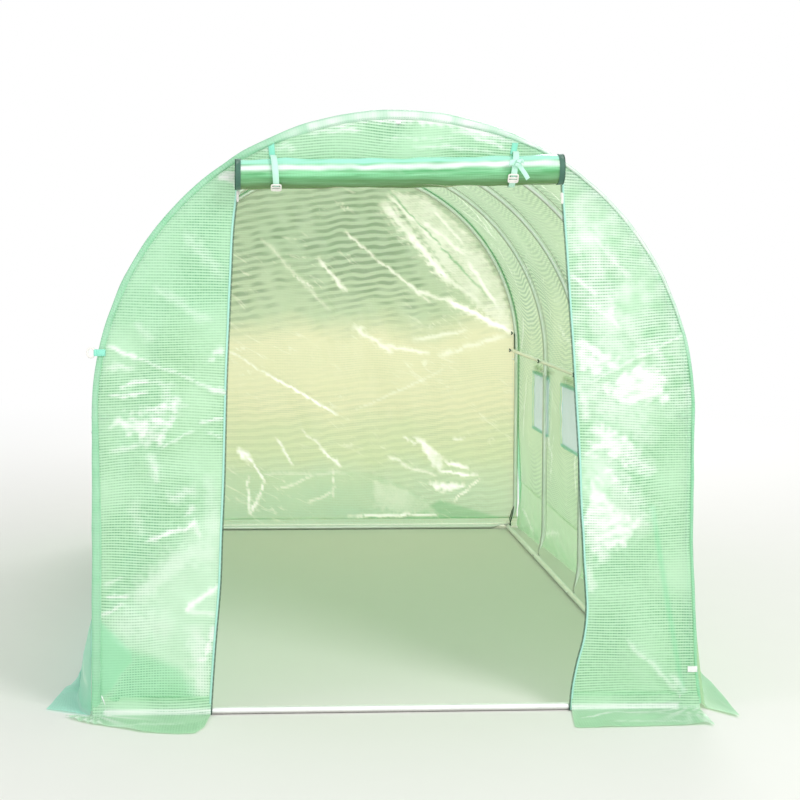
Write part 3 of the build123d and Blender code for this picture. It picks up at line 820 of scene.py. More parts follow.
def grid_mesh(name, points, cloth, flip=False, open_cells=None, closed=False, **fields):
    """A smooth mesh over points of shape (rows, columns, 3), with a UV map in metres and point fields.

    Columns then rows turn the faces' front by the right hand; flip turns them round. open_cells says which
    cells are left out, and closed joins the last row to the first."""
    rows, columns = points.shape[:2]
    index = np.arange(rows * columns).reshape(rows, columns)
    if closed:
        index = np.vstack([index, index[:1]])
    corners = [index[:-1, :-1], index[:-1, 1:], index[1:, 1:], index[1:, :-1]]
    if flip:
        corners = corners[::-1]
    quads = np.stack(corners, -1)
    if open_cells is not None:
        quads = quads[~open_cells]
    mesh = bpy.data.meshes.new(name)
    mesh.from_pydata(points.reshape(-1, 3).tolist(), [], quads.reshape(-1, 4).tolist())
    mesh.polygons.foreach_set("use_smooth", np.ones(len(mesh.polygons), bool))
    corner = np.zeros(len(mesh.loops), np.int32)
    mesh.loops.foreach_get("vertex_index", corner)
    layer = mesh.uv_layers.new(name="cloth")
    layer.data.foreach_set("uv", cloth.reshape(-1, 2)[corner].astype(np.float32).ravel())
    for field, values in fields.items():
        made = mesh.attributes.new(field, "FLOAT", "POINT")
        made.data.foreach_set("value", np.broadcast_to(values, (rows, columns)).astype(np.float32).ravel())
    if open_cells is not None:
        drop_loose(mesh)
    mesh.update()
    return mesh


def drop_loose(mesh):
    """Takes out the points that no face uses."""
    work = bmesh.new()
    work.from_mesh(mesh)
    bmesh.ops.delete(work, geom=[p for p in work.verts if not p.link_faces], context="VERTS")
    work.to_mesh(mesh)
    work.free()


def join_meshes(name, meshes):
    """One mesh made of several."""
    work = bmesh.new()
    for mesh in meshes:
        work.from_mesh(mesh)
        bpy.data.meshes.remove(mesh)
    made = bpy.data.meshes.new(name)
    work.to_mesh(made)
    work.free()
    return made


def mark_edges(mesh):
    """Stores on a tube's points how far they face away from the light, round an arch or under a rail."""
    mesh.update()
    place, facing = np.zeros(len(mesh.vertices) * 3), np.zeros(len(mesh.vertices) * 3)
    mesh.vertices.foreach_get("co", place)
    mesh.vertices.foreach_get("normal", facing)
    place, facing = place.reshape(-1, 3), facing.reshape(-1, 3)
    if mesh.name.startswith(("arch", "legs")):
        out = place * (1, 0, 1) - (0, 0, SPRING)
        out[place[:, 2] < SPRING, 2] = 0
        out /= np.linalg.norm(out, axis=1)[:, None]
        away = (np.abs((facing * out).sum(1)) - 0.62) / 0.3
    else:
        away = (-0.1 - facing[:, 2]) / 0.5
    made = mesh.attributes.new("edge", "FLOAT", "POINT")
    made.data.foreach_set("value", unit(away).astype(np.float32))


def add_piece(mesh, material, nodes=()):
    """Puts a finished mesh in the scene as a piece that rides on the greenhouse."""
    if material == "galvanised steel":
        mark_edges(mesh)
    piece = bpy.data.objects.new(mesh.name, mesh)
    bpy.context.scene.collection.objects.link(piece)
    mesh.materials.clear()
    mesh.materials.append(finish(material))
    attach(piece, "root")
    if nodes:
        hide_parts(*nodes)
    return piece


def grown(name, source, tree, values, material, nodes=()):
    """Runs a Geometry Nodes tree on a curve or mesh and keeps the plain mesh that it makes as a piece."""
    carrier = bpy.data.objects.new(name, source)
    bpy.context.scene.collection.objects.link(carrier)
    modifier = carrier.modifiers.new(name, "NODES")
    modifier.node_group = tree
    named = {s.name: s.identifier for s in tree.interface.items_tree if s.in_out == "INPUT"}
    for key, value in {**values, "Finish": finish(material)}.items():
        modifier[named[key]] = value
    carrier.update_tag()
    bpy.context.view_layer.update()
    evaluated = carrier.evaluated_get(bpy.context.evaluated_depsgraph_get())
    mesh = bpy.data.meshes.new_from_object(evaluated)
    bpy.data.objects.remove(carrier)
    mesh.name = name
    return add_piece(mesh, material, nodes)


def path_curve(name, paths):
    """A curve of straight-run splines through the points of each path."""
    curve = bpy.data.curves.new(name, "CURVE")
    curve.dimensions = "3D"
    for path in paths:
        spline = curve.splines.new("POLY")
        spline.points.add(len(path) - 1)
        weighted = np.hstack([path, np.ones((len(path), 1))])
        spline.points.foreach_set("co", weighted.astype(np.float32).ravel())
    return curve


def point_mesh(name, places, directions):
    """A mesh of loose points, each with the direction that what is put on it points in."""
    mesh = bpy.data.meshes.new(name)
    mesh.from_pydata([tuple(p) for p in places], [], [])
    mesh.attributes.new("direction", "FLOAT_VECTOR", "POINT").data.foreach_set(
        "vector", np.array(directions, np.float32).ravel()
    )
    return mesh


def ring_points(centre, side, up, half_width, half_height, sides, square=1.0):
    """Points round an oval section; square below 1 fills out its corners."""
    turn = np.linspace(0, math.tau, sides, endpoint=False) + math.pi / sides
    c, s = squared(np.cos(turn), square), squared(np.sin(turn), square)
    return np.array(centre) + np.outer(c * half_width, side) + np.outer(s * half_height, up)


def lofted(name, sections):
    """A closed tube through sections of equal count, capped at both ends, with its faces outward."""
    work = bmesh.new()
    rings = [[work.verts.new(p) for p in section] for section in sections]
    count = len(rings[0])
    for low, high in zip(rings, rings[1:]):
        for k in range(count):
            work.faces.new((low[k], low[(k + 1) % count], high[(k + 1) % count], high[k]))
    for ring in (rings[0][::-1], rings[-1]):
        work.faces.new(ring)
    bmesh.ops.recalc_face_normals(work, faces=work.faces)
    for face in work.faces:
        face.smooth = len(face.verts) == 4
    mesh = bpy.data.meshes.new(name)
    work.to_mesh(mesh)
    work.free()
    return mesh


def closed_ring(name, sections):
    """A ring through sections of equal count, joined end to end, with its faces outward."""
    points = np.stack(sections)
    points = np.concatenate([points, points[:, :1]], 1)
    mesh = grid_mesh(name, points, np.zeros((*points.shape[:2], 2)), closed=True)
    work = bmesh.new()
    work.from_mesh(mesh)
    bmesh.ops.remove_doubles(work, verts=work.verts, dist=1e-6)
    bmesh.ops.recalc_face_normals(work, faces=work.faces)
    work.to_mesh(mesh)
    work.free()
    return mesh


def frame_ring(name, centre, across, up, width, height, bar, depth):
    """A rounded rectangular ring of bar, as of a buckle, with its opening facing across x up."""
    across, up = np.array(across, float), np.array(up, float)
    out = np.cross(across, up)
    turn = np.linspace(0, math.tau, 24, endpoint=False) + math.tau / 48
    reach = squared(np.cos(turn), 0.35) * (width - bar) / 2
    rise = squared(np.sin(turn), 0.35) * (height - bar) / 2
    sections = []
    for x, y in zip(reach, rise):
        length = math.hypot(x, y)
        radial = across * x / length + up * y / length
        middle_of_bar = np.array(centre) + across * x + up * y
        sections.append(ring_points(middle_of_bar, radial, out, bar / 2, depth / 2, 8, 0.6))
    return closed_ring(name, sections)


def ribbon(name, centres, across, width, thickness):
    """A flat strap along centres, as wide as width in the across direction."""
    centres, across = np.array(centres, float), np.array(across, float)
    runs = np.gradient(centres, axis=0)
    outs = np.cross(runs, across)
    outs /= np.linalg.norm(outs, axis=1)[:, None]
    half, thick = width / 2, thickness / 2
    inner, edge = half * 0.96, thick * 0.4
    profile = ((-half, -edge), (-half, edge), (-inner, thick), (inner, thick),
               (half, edge), (half, -edge), (inner, -thick), (-inner, -thick))
    sections = [[c + across * a + out * b for a, b in profile] for c, out in zip(centres, outs)]
    mesh = lofted(name, sections)
    travelled = running(np.linalg.norm(np.diff(centres, axis=0), axis=1))
    layer = mesh.uv_layers.new(name="cloth")
    for loop in mesh.loops:
        row, k = divmod(loop.vertex_index, len(profile))
        layer.data[loop.index].uv = (profile[k][0], travelled[row])
    return mesh


def geometry_tree(title, sizes):
    """A Geometry Nodes tree with named inputs, and a Wire from each of them."""
    tree = bpy.data.node_groups.new(title, "GeometryNodeTree")
    face = tree.interface
    for name, kind in {"Geometry": "Geometry", **sizes, "Finish": "Material"}.items():
        face.new_socket(name, in_out="INPUT", socket_type=f"NodeSocket{kind}")
    face.new_socket("Geometry", in_out="OUTPUT", socket_type="NodeSocketGeometry")
    g = Graph(tree)
    return g, {s.name: Wire(g, s) for s in g.tree.nodes.new("NodeGroupInput").outputs if s.name}


def ended(g, geometry, given):
    """Ends a tree in real geometry with its material."""
    whole = g.node("GeometryNodeRealizeInstances", None, {"Geometry": geometry})
    dressed = g.node("GeometryNodeSetMaterial", None, {"Geometry": whole, "Material": given["Finish"]})
    g.node("NodeGroupOutput", None, {"Geometry": dressed})
    return g.tree


def tube_tree():
    """Geometry Nodes: a round tube along the object's own curve."""
    g, given = geometry_tree("tube along its path", {"Tube Radius": "Float", "Sides": "Int"})
    sizes = {"Resolution": given["Sides"], "Radius": given["Tube Radius"]}
    circle = g.node("GeometryNodeCurvePrimitiveCircle", {"mode": "RADIUS"}, sizes, "Curve")
    parts = {"Curve": given["Geometry"], "Profile Curve": circle, "Fill Caps": True}
    skin = g.node("GeometryNodeCurveToMesh", None, parts)
    smooth = g.node("GeometryNodeSetShadeSmooth", None, {"Geometry": skin, "Shade Smooth": True})
    return ended(g, smooth, given)


def bead_tree(block):
    """Geometry Nodes: small beads or blocks at an even pitch along the object's own curve."""
    title = "blocks along a path" if block else "stitches along a path"
    g, given = geometry_tree(title, {"Pitch": "Float", "Size": "Vector", "Up": "Vector"})
    spaced = g.node("GeometryNodeCurveToPoints", {"mode": "LENGTH"},
                    {"Curve": given["Geometry"], "Length": given["Pitch"]})
    run = Wire(g, spaced.socket.node.outputs["Tangent"])
    upright = g.node("FunctionNodeAlignRotationToVector", {"axis": "Z"}, {"Vector": given["Up"]})
    turned = g.node("FunctionNodeAlignRotationToVector", {"axis": "X", "pivot_axis": "Z"},
                    {"Rotation": upright, "Vector": run})
    if block:
        shape = g.node("GeometryNodeMeshCube", None, {"Size": (1.0, 1.0, 1.0)}, "Mesh")
    else:
        shape = g.node("GeometryNodeMeshUVSphere", None, {"Segments": 6, "Rings": 4, "Radius": 0.5}, "Mesh")
    put = g.node("GeometryNodeInstanceOnPoints", None,
                 {"Points": spaced, "Instance": shape, "Rotation": turned, "Scale": given["Size"]})
    return ended(g, put, given)


def fastener_tree(nut):
    """Geometry Nodes: a bolt with its washer, or a wing nut, on every point, along the point's direction."""
    title = "wing nuts on points" if nut else "bolts on points"
    g, given = geometry_tree(title, {"Bolt Radius": "Float", "Bolt Length": "Float"})
    radius, length = given["Bolt Radius"], given["Bolt Length"]

    def drum(sides, size, deep, where):
        sizes = {"Vertices": sides, "Radius": size, "Depth": deep}
        made = g.node("GeometryNodeMeshCylinder", None, sizes, "Mesh")
        at = g.node("ShaderNodeCombineXYZ", None, {"Z": where})
        return g.node("GeometryNodeTransform", None, {"Geometry": made, "Translation": at})

    if nut:
        parts = [drum(16, radius * 1.9, radius * 1.8, length * 0.5 + radius * 0.9)]
        for side in (-1, 1):
            sizes = {"Segments": 14, "Rings": 8, "Radius": radius}
            wing = g.node("GeometryNodeMeshUVSphere", None, sizes, "Mesh")
            where = {"X": radius * (2.1 * side), "Z": length * 0.5 + radius * 1.9}
            at = g.node("ShaderNodeCombineXYZ", None, where)
            moved = {"Translation": at, "Rotation": (0.0, 0.5 * side, 0.0), "Scale": (1.3, 0.55, 1.2)}
            parts.append(g.node("GeometryNodeTransform", None, {"Geometry": wing, **moved}))
    else:
        parts = [
            drum(12, radius, length + radius * 4.0, radius),
            drum(6, radius * 1.8, radius * 1.3, length * -0.5 - radius * 0.9),
            drum(20, radius * 2.3, radius * 0.35, length * -0.5 - radius * 0.1),
            drum(20, radius * 2.3, radius * 0.35, length * 0.5 - radius * 0.1),
        ]
    joined = g.tree.nodes.new("GeometryNodeJoinGeometry")
    for part in parts:
        g.tree.links.new(part.socket, joined.inputs[0])
    aim = g.node("GeometryNodeInputNamedAttribute", {"data_type": "FLOAT_VECTOR"},
                 {"Name": "direction"}, "Attribute")
    turned = g.node("FunctionNodeAlignRotationToVector", {"axis": "Z"}, {"Vector": aim})
    put = g.node("GeometryNodeInstanceOnPoints", None,
                 {"Points": given["Geometry"], "Instance": Wire(g, joined.outputs[0]), "Rotation": turned})
    return ended(g, put, given)


# The cover's cross-section: s runs up the right wall, over the arch and down the left wall


LOOSE_FOOT = curve_through(
    ((0.0, 0.040), (0.03, 0.036), (0.07, 0.030), (0.155, 0.021), (0.24, 0.017), (0.38, 0.010), (0.56, 0.0))
)


def flare(x, z):
    """How far the cover's loose foot stands out sideways, most of it on the right."""
    return np.where(np.asarray(x) > 0, 1.0, -0.12) * LOOSE_FOOT(z)


def cover_points(s, y, out):
    """Points of the tunnel's cover at arc length s and place y, moved outward by out."""
    turn = np.clip((s - SPRING) / RADIUS, 0, math.pi)
    reach = RADIUS + out
    x = np.cos(turn) * reach
    left_spring = SPRING + ARCH_LENGTH
    rise = np.where(s < SPRING, s - SPRING, np.where(s > left_spring, left_spring - s, 0.0))
    z = SPRING + rise + np.sin(turn) * reach
    return stacked(x + flare(x, z), y + 0 * s, z)


def cover_slack(s, y):
    """How far the cover sinks between the hoops, and its ripples."""
    between = unit((y - HOOP_Y[0]) / PITCH % 1.0)
    belly = np.sin(math.pi * between) ** 2
    height = unit(np.sin(np.clip((s - SPRING) / RADIUS, 0, math.pi)))
    sink = (0.004 + 0.007 * height) * belly
    pull = 0.0016 * np.cos(s * math.tau / 0.11 + 2.0 * np.sin(y * 2.3))
    pull = pull * np.exp(-((between - 0.5) / 0.28) ** 2)
    return -sink + 0.0022 * belly * waves(s, y, 11, 0.42) + pull * belly


def cover_sheet(name, s_line, y_line, nodes, open_cells=None, seed=3):
    """A part of the tunnel's cover as a woven film sheet."""
    s, y = np.meshgrid(s_line, y_line)
    draw = np.random.default_rng(seed)
    folds = []
    for _ in range(34):
        a, b = draw.uniform(s_line[0], s_line[-1]), draw.uniform(y_line[0], y_line[-1])
        turn, long = draw.normal(0.5, 0.5) * draw.choice((-1, 1)), draw.uniform(0.12, 0.55)
        folds.append((a, b, a + long * math.cos(turn), b + long * math.sin(turn),
                      draw.uniform(0.008, 0.018), draw.uniform(0.2, 0.75), -0.002))
    lift, shine = folds_at(s, y, folds, seed)
    edge = np.minimum(np.abs(y - FRONT), np.abs(BACK - y))
    points = cover_points(s, y, cover_slack(s, y) + lift * unit(edge / 0.1) - 0.001)
    cloth, depth = woven(y, s, seed + 100)
    # The threads are held up at the hoops and sag between them
    height = np.minimum(s, COVER_LENGTH - s)
    arch = unit((height - 0.95) / 0.2)
    sag = (0.006 * arch - 0.040) * np.cos((y - HOOP_Y[0]) * math.tau / PITCH)
    phase = (height + sag + 0.004 * waves(s, y, seed + 105, 0.2)) / 0.023
    ripple = 0.95 * np.clip(0.70 + 0.4 * waves(s, y, seed + 104, 0.5), 0.2, 1) * (0.85 + 0.15 * arch)
    ripple = ripple * np.clip(1.25 - np.abs(height - 1.30) / 0.5, 0.62, 1)
    mesh = grid_mesh(name, points, cloth, True, open_cells, glare=shine, depth=depth, phase=phase,
                     ripple=ripple)
    piece = add_piece(mesh, "tunnel film", nodes)
    return piece


# Sizes and colours that a user may change


def size_property(name, default, description):
    return FloatProperty(
        name=name, description=description, default=default, min=0.0, unit="LENGTH", precision=4)


def colour_property(name, default, description):
    return FloatVectorProperty(
        name=name, description=description, default=default, subtype="COLOR", min=0.0, max=1.0)


class GreenhouseSizes(bpy.types.PropertyGroup):
    """Sizes of the tubes, cover and small parts."""

    tube_sides: IntProperty(
        name="Tube sides", description="Facets round each steel tube", default=20, min=6)
    cover_step: size_property("Cover step", 0.022, "Distance between the points of the roof and walls")
    panel_step: size_property("Panel step", 0.007, "Distance between the points of the front panels")
    back_step: size_property("Back step", 0.0105, "Distance between the points of the back sheet")
    hem_width: size_property("Hem width", 0.030, "Width of the doubled band round the ends of the tunnel")
    zip_width: size_property("Zip tape width", 0.0055, "Width of each zip tape beside the doorway")
    stitch_pitch: size_property("Stitch pitch", 0.007, "Distance from one stitch to the next")
    tooth_pitch: size_property("Zip tooth pitch", 0.004, "Distance from one zip tooth to the next")
    bolt_radius: size_property("Bolt radius", 0.003, "Radius of the frame bolts")
    strap_width: size_property("Strap width", 0.020, "Width of the straps that hold the rolled door")


class GreenhouseLook(bpy.types.PropertyGroup):
    """Colours of the cover and its parts."""

    weave_pitch: size_property("Weave pitch", 0.0090,
                               "Distance between the reinforcing threads of the film")
    film_colour: colour_property("Film", srgb(216, 250, 222), "Threads of the front panels")
    hem_colour: colour_property("Hem", srgb(184, 242, 206), "Doubled bands of film")
    skirt_colour: colour_property("Skirt", srgb(212, 250, 238), "Flaps that lie on the ground")
    roll_colour: colour_property("Rolled door", srgb(78, 164, 98), "Deep green of the wound film")
    steel_colour: colour_property("Steel", srgb(252, 252, 252), "Galvanised tube")
    zip_colour: colour_property("Zip tape", srgb(190, 242, 224), "Tape beside the doorway")
    strap_colour: colour_property("Straps", srgb(158, 240, 214), "Webbing round the rolled door")
    binding_colour: colour_property("Window binding", srgb(196, 238, 232), "Tape round the windows")
    net_colour: colour_property("Net", srgb(220, 230, 240), "Insect net of the windows")


# Operators


class PieceOperator:
    """What the operators of this add-on share."""

    bl_options = {"REGISTER", "UNDO"}


class GREENHOUSE_OT_camera(PieceOperator, bpy.types.Operator):
    """Place the camera in front of the doorway, a little to the left"""

    bl_idname = "greenhouse.camera"
    bl_label = "Camera"

    def execute(self, context):
        data = bpy.data.cameras.new("camera")
        data.sensor_width, data.lens = 36.0, 71.451
        data.shift_x, data.shift_y = 0.07, -0.10
        camera = bpy.data.objects.new("camera", data)
        camera.location = (-0.4825, -6.9588, 1.5409)
        camera.rotation_euler = tuple(math.radians(a) for a in (87.475, -0.246, -3.356))
        context.scene.collection.objects.link(camera)
        context.scene.camera = camera
        return {"FINISHED"}


class GREENHOUSE_OT_arches(PieceOperator, bpy.types.Operator):
    """Bend a round tube over each hoop, with straight sockets at its feet"""

    bl_idname = "greenhouse.arches"
    bl_label = "Hoop arches"

    def execute(self, context):
        tree = tube_tree()
        sides = context.scene.greenhouse_sizes.tube_sides
        turn = np.linspace(0, math.pi, 73)
        arc = stacked(np.cos(turn) * HOOP_RADIUS, 0 * turn, SPRING + np.sin(turn) * HOOP_RADIUS)
        ends = np.array([[HOOP_RADIUS, 0, SOCKET_FOOT], [-HOOP_RADIUS, 0, SOCKET_FOOT]])
        path = np.vstack([ends[:1], arc, ends[1:]])
        for i, y in zip(HOOPS, HOOP_Y):
            curve = path_curve(f"arch_{i}", [path + (0, y, 0)])
            grown(f"arch_{i}", curve, tree, {"Tube Radius": TUBE, "Sides": sides}, "galvanised steel",
                  [f"hoop_{i}_arch"])
        return {"FINISHED"}


class GREENHOUSE_OT_legs(PieceOperator, bpy.types.Operator):
    """Stand two legs under each arch, with feet pressed flat on the base rails"""

    bl_idname = "greenhouse.legs"
    bl_label = "Hoop legs"

    def execute(self, context):
        sides = context.scene.greenhouse_sizes.tube_sides
        foot_x = RAIL_X + TUBE + PRESSED
        # Down the leg: height, middle, half width, half thickness and how square the section is
        stations = (
            (SOCKET_FOOT + 0.050, HOOP_RADIUS, TUBE - 0.0018, TUBE - 0.0018, 1.0),
            (SOCKET_FOOT - 0.001, HOOP_RADIUS, TUBE - 0.0018, TUBE - 0.0018, 1.0),
            (SOCKET_FOOT - 0.002, HOOP_RADIUS, TUBE, TUBE, 1.0),
            (0.50, HOOP_RADIUS, TUBE, TUBE, 1.0),
            (0.150, HOOP_RADIUS, TUBE, TUBE, 1.0),
            (0.118, HOOP_RADIUS - 0.002, TUBE, TUBE, 1.0),
            (0.098, HOOP_RADIUS - 0.006, TUBE + 0.0005, TUBE - 0.0005, 1.0),
            (0.080, HOOP_RADIUS - 0.011, TUBE + 0.0015, TUBE - 0.0035, 0.92),
            (0.066, foot_x + 0.010, TUBE + 0.003, TUBE - 0.0065, 0.85),
            (0.054, foot_x + 0.005, TUBE + 0.0045, 0.0042, 0.75),
            (0.044, foot_x + 0.0015, TUBE + 0.005, 0.0022, 0.62),
            (0.036, foot_x, TUBE + 0.005, PRESSED, 0.55),
            (0.010, foot_x, TUBE + 0.005, PRESSED, 0.55),
            (0.004, foot_x, TUBE + 0.002, PRESSED, 0.55),
            (0.0012, foot_x, TUBE - 0.003, 0.0012, 0.55),
        )
        for i, y in zip(HOOPS, HOOP_Y):
            legs = []
            for side in (-1, 1):
                sections = [
                    ring_points((side * x, y, z), (0, 1, 0), (side, 0, 0), wide, thick, sides, square)
                    for z, x, wide, thick, square in stations
                ]
                legs.append(lofted("leg", sections))
            add_piece(join_meshes(f"legs_{i}", legs), "galvanised steel",
                      [f"hoop_{i}_legs"])
        return {"FINISHED"}


class GREENHOUSE_OT_rails(PieceOperator, bpy.types.Operator):
    """Lay the base rails on the ground and the purlins along the hoops"""

    bl_idname = "greenhouse.rails"
    bl_label = "Rails and purlins"

    def execute(self, context):
        sides = context.scene.greenhouse_sizes.tube_sides
        tree = tube_tree()
        tubes = (
            ("right_side_rail", RAIL_X, RAIL_Z, TUBE, "right_base_rail"),
            ("left_side_rail", -RAIL_X, RAIL_Z, TUBE, "left_base_rail"),
            ("right_wall_purlin", PURLIN_X, PURLIN_Z, PURLIN_TUBE, "right_purlin"),
            ("left_wall_purlin", -PURLIN_X, PURLIN_Z, PURLIN_TUBE, "left_purlin"),
            ("ridge_tube", 0.0, RIDGE_Z, PURLIN_TUBE, "ridge_purlin"),
        )
        for name, x, z, radius, node in tubes:
            line = np.array([[x, y, z] for y in np.linspace(-TUBE_END, TUBE_END, 9)])
            grown(name, path_curve(name, [line]), tree, {"Tube Radius": radius, "Sides": sides},
                  "galvanised steel", [node])
        lying = 2 * TUBE + PRESSED
        # From the middle of a cross rail to its end: place, height and the same sizes
        half = (
            (0.0, RAIL_Z, TUBE, TUBE, 1.0), (0.45, RAIL_Z, TUBE, TUBE, 1.0),
            (0.846, RAIL_Z, TUBE, TUBE, 1.0),
            (0.868, RAIL_Z + 0.002, TUBE + 0.001, TUBE - 0.001, 0.95),
            (0.886, RAIL_Z + 0.006, TUBE + 0.003, TUBE - 0.005, 0.85),
            (0.902, RAIL_Z + 0.0105, TUBE + 0.0045, 0.0045, 0.7),
            (0.914, lying - 0.001, TUBE + 0.005, 0.002, 0.6),
            (0.922, lying, TUBE + 0.005, PRESSED, 0.55),
            (0.958, lying, TUBE + 0.005, PRESSED, 0.55),
            (0.9636, lying, TUBE + 0.002, PRESSED, 0.55),
        )
        for name, y, node in (("front_cross_rail", HOOP_Y[0], "front_base_rail"),
                              ("back_cross_rail", HOOP_Y[-1], "back_base_rail")):
            whole = [(-x, *rest) for x, *rest in half[::-1]] + list(half[1:])
            sections = [ring_points((x, y, z), (0, 1, 0), (0, 0, 1), wide, thick, sides, square)
                        for x, z, wide, thick, square in whole]
            add_piece(lofted(name, sections), "galvanised steel", [node])
        return {"FINISHED"}


class GREENHOUSE_OT_fasteners(PieceOperator, bpy.types.Operator):
    """Bolt the feet, corners, sockets and purlins, with wing nuts inside"""

    bl_idname = "greenhouse.fasteners"
    bl_label = "Bolts and wing nuts"

    def execute(self, context):
        radius = context.scene.greenhouse_sizes.bolt_radius
        both = [(s, y) for s in (-1, 1) for y in HOOP_Y]
        ends = (HOOP_Y[0], HOOP_Y[-1])
        # The bolts' length in each group, with where each one sits and points
        groups = {
            "foot": (0.027, [((s * (RAIL_X + 0.0012), y, 0.019), (-s, 0, 0)) for s, y in both]),
            "socket": (0.026, [((s * HOOP_RADIUS, y, SOCKET_FOOT + 0.022), (-s, 0, 0)) for s, y in both]),
            "purlin": (0.045, [((s * (PURLIN_X + 0.0125), y, PURLIN_Z), (-s, 0, 0)) for s, y in both]),
            "ridge": (0.045, [((0, y, RIDGE_Z + 0.0125), (0, 0, -1)) for y in HOOP_Y]),
            "corner": (0.029, [((s * RAIL_X, y, 0.0142), (0, 0, 1)) for s, y in both if y in ends]),
        }
        rear_knob = ((HOOP_RADIUS, HOOP_Y[-1], 1.086), (-1, 0, 0))
        groups["purlin"][1].append(rear_knob)
        for nut in (False, True):
            tree = fastener_tree(nut)
            for key, (length, spots) in groups.items():
                if nut and key not in ("purlin", "ridge"):
                    continue
                name = f"{key}_wing_nuts" if nut else f"{key}_bolts"
                sizes = {"Bolt Radius": radius, "Bolt Length": length}
                grown(name, point_mesh(name, *zip(*spots)), tree, sizes,
                      "dark plastic" if nut else "galvanised steel")
        # Two short cords at the rear right corner
        x, y = RAIL_X + 0.012, HOOP_Y[-1] - 0.022
        bow = np.array([
            (x, y, 0.020), (x - 0.006, y - 0.006, 0.060), (x + 0.006, y, 0.100),
            (x + 0.018, y + 0.008, 0.124),
            (x + 0.012, y, 0.095), (x + 0.002, y - 0.006, 0.050), (x - 0.010, y - 0.004, 0.014),
        ])
        strap = np.array([(HOOP_RADIUS - 0.015, HOOP_Y[-1] - 0.010, z) for z in (1.082, 1.05, PURLIN_Z)])
        grown("corner_ties", path_curve("corner_ties", [bow, strap]), tube_tree(),
              {"Tube Radius": 0.0026, "Sides": 8}, "tie cord")
        return {"FINISHED"}


class GREENHOUSE_OT_cover(PieceOperator, bpy.types.Operator):
    """Stretch the roof and wall film over the hoops"""

    bl_idname = "greenhouse.cover"
    bl_label = "Roof and walls"

    def execute(self, context):
        step = context.scene.greenhouse_sizes.cover_step
        ends = (FRONT + 0.004, BACK - 0.004)
        cover_sheet("roof_cover", steps_between((SPRING, SPRING + ARCH_LENGTH), step),
                    steps_between(ends, step),
                    [f"roof_film_{i}" for i in range(1, 7)])
        edges = sorted(y + s * WINDOW_HALF for y in WINDOW_Y for s in (-1, 1))
        y_line = steps_between((ends[0], *edges, ends[1]), step)
        z_line = steps_between((WALL_FOOT, WINDOW_FOOT, WINDOW_HEAD, SPRING), step)
        mid_y, mid_z = (y_line[:-1] + y_line[1:]) / 2, (z_line[:-1] + z_line[1:]) / 2
        open_y = np.any([np.abs(mid_y - y) < WINDOW_HALF for y in WINDOW_Y], 0)
        open_z = (mid_z > WINDOW_FOOT) & (mid_z < WINDOW_HEAD)
        for name, s_line, opening, node, seed in (
            ("right_wall_cover", z_line, open_z, "right_wall_film", 5),
            ("left_wall_cover", COVER_LENGTH - z_line[::-1], open_z[::-1], "left_wall_film", 6),
        ):
            cover_sheet(name, s_line, y_line, [node],
                        np.outer(open_y, opening), seed)
        return {"FINISHED"}


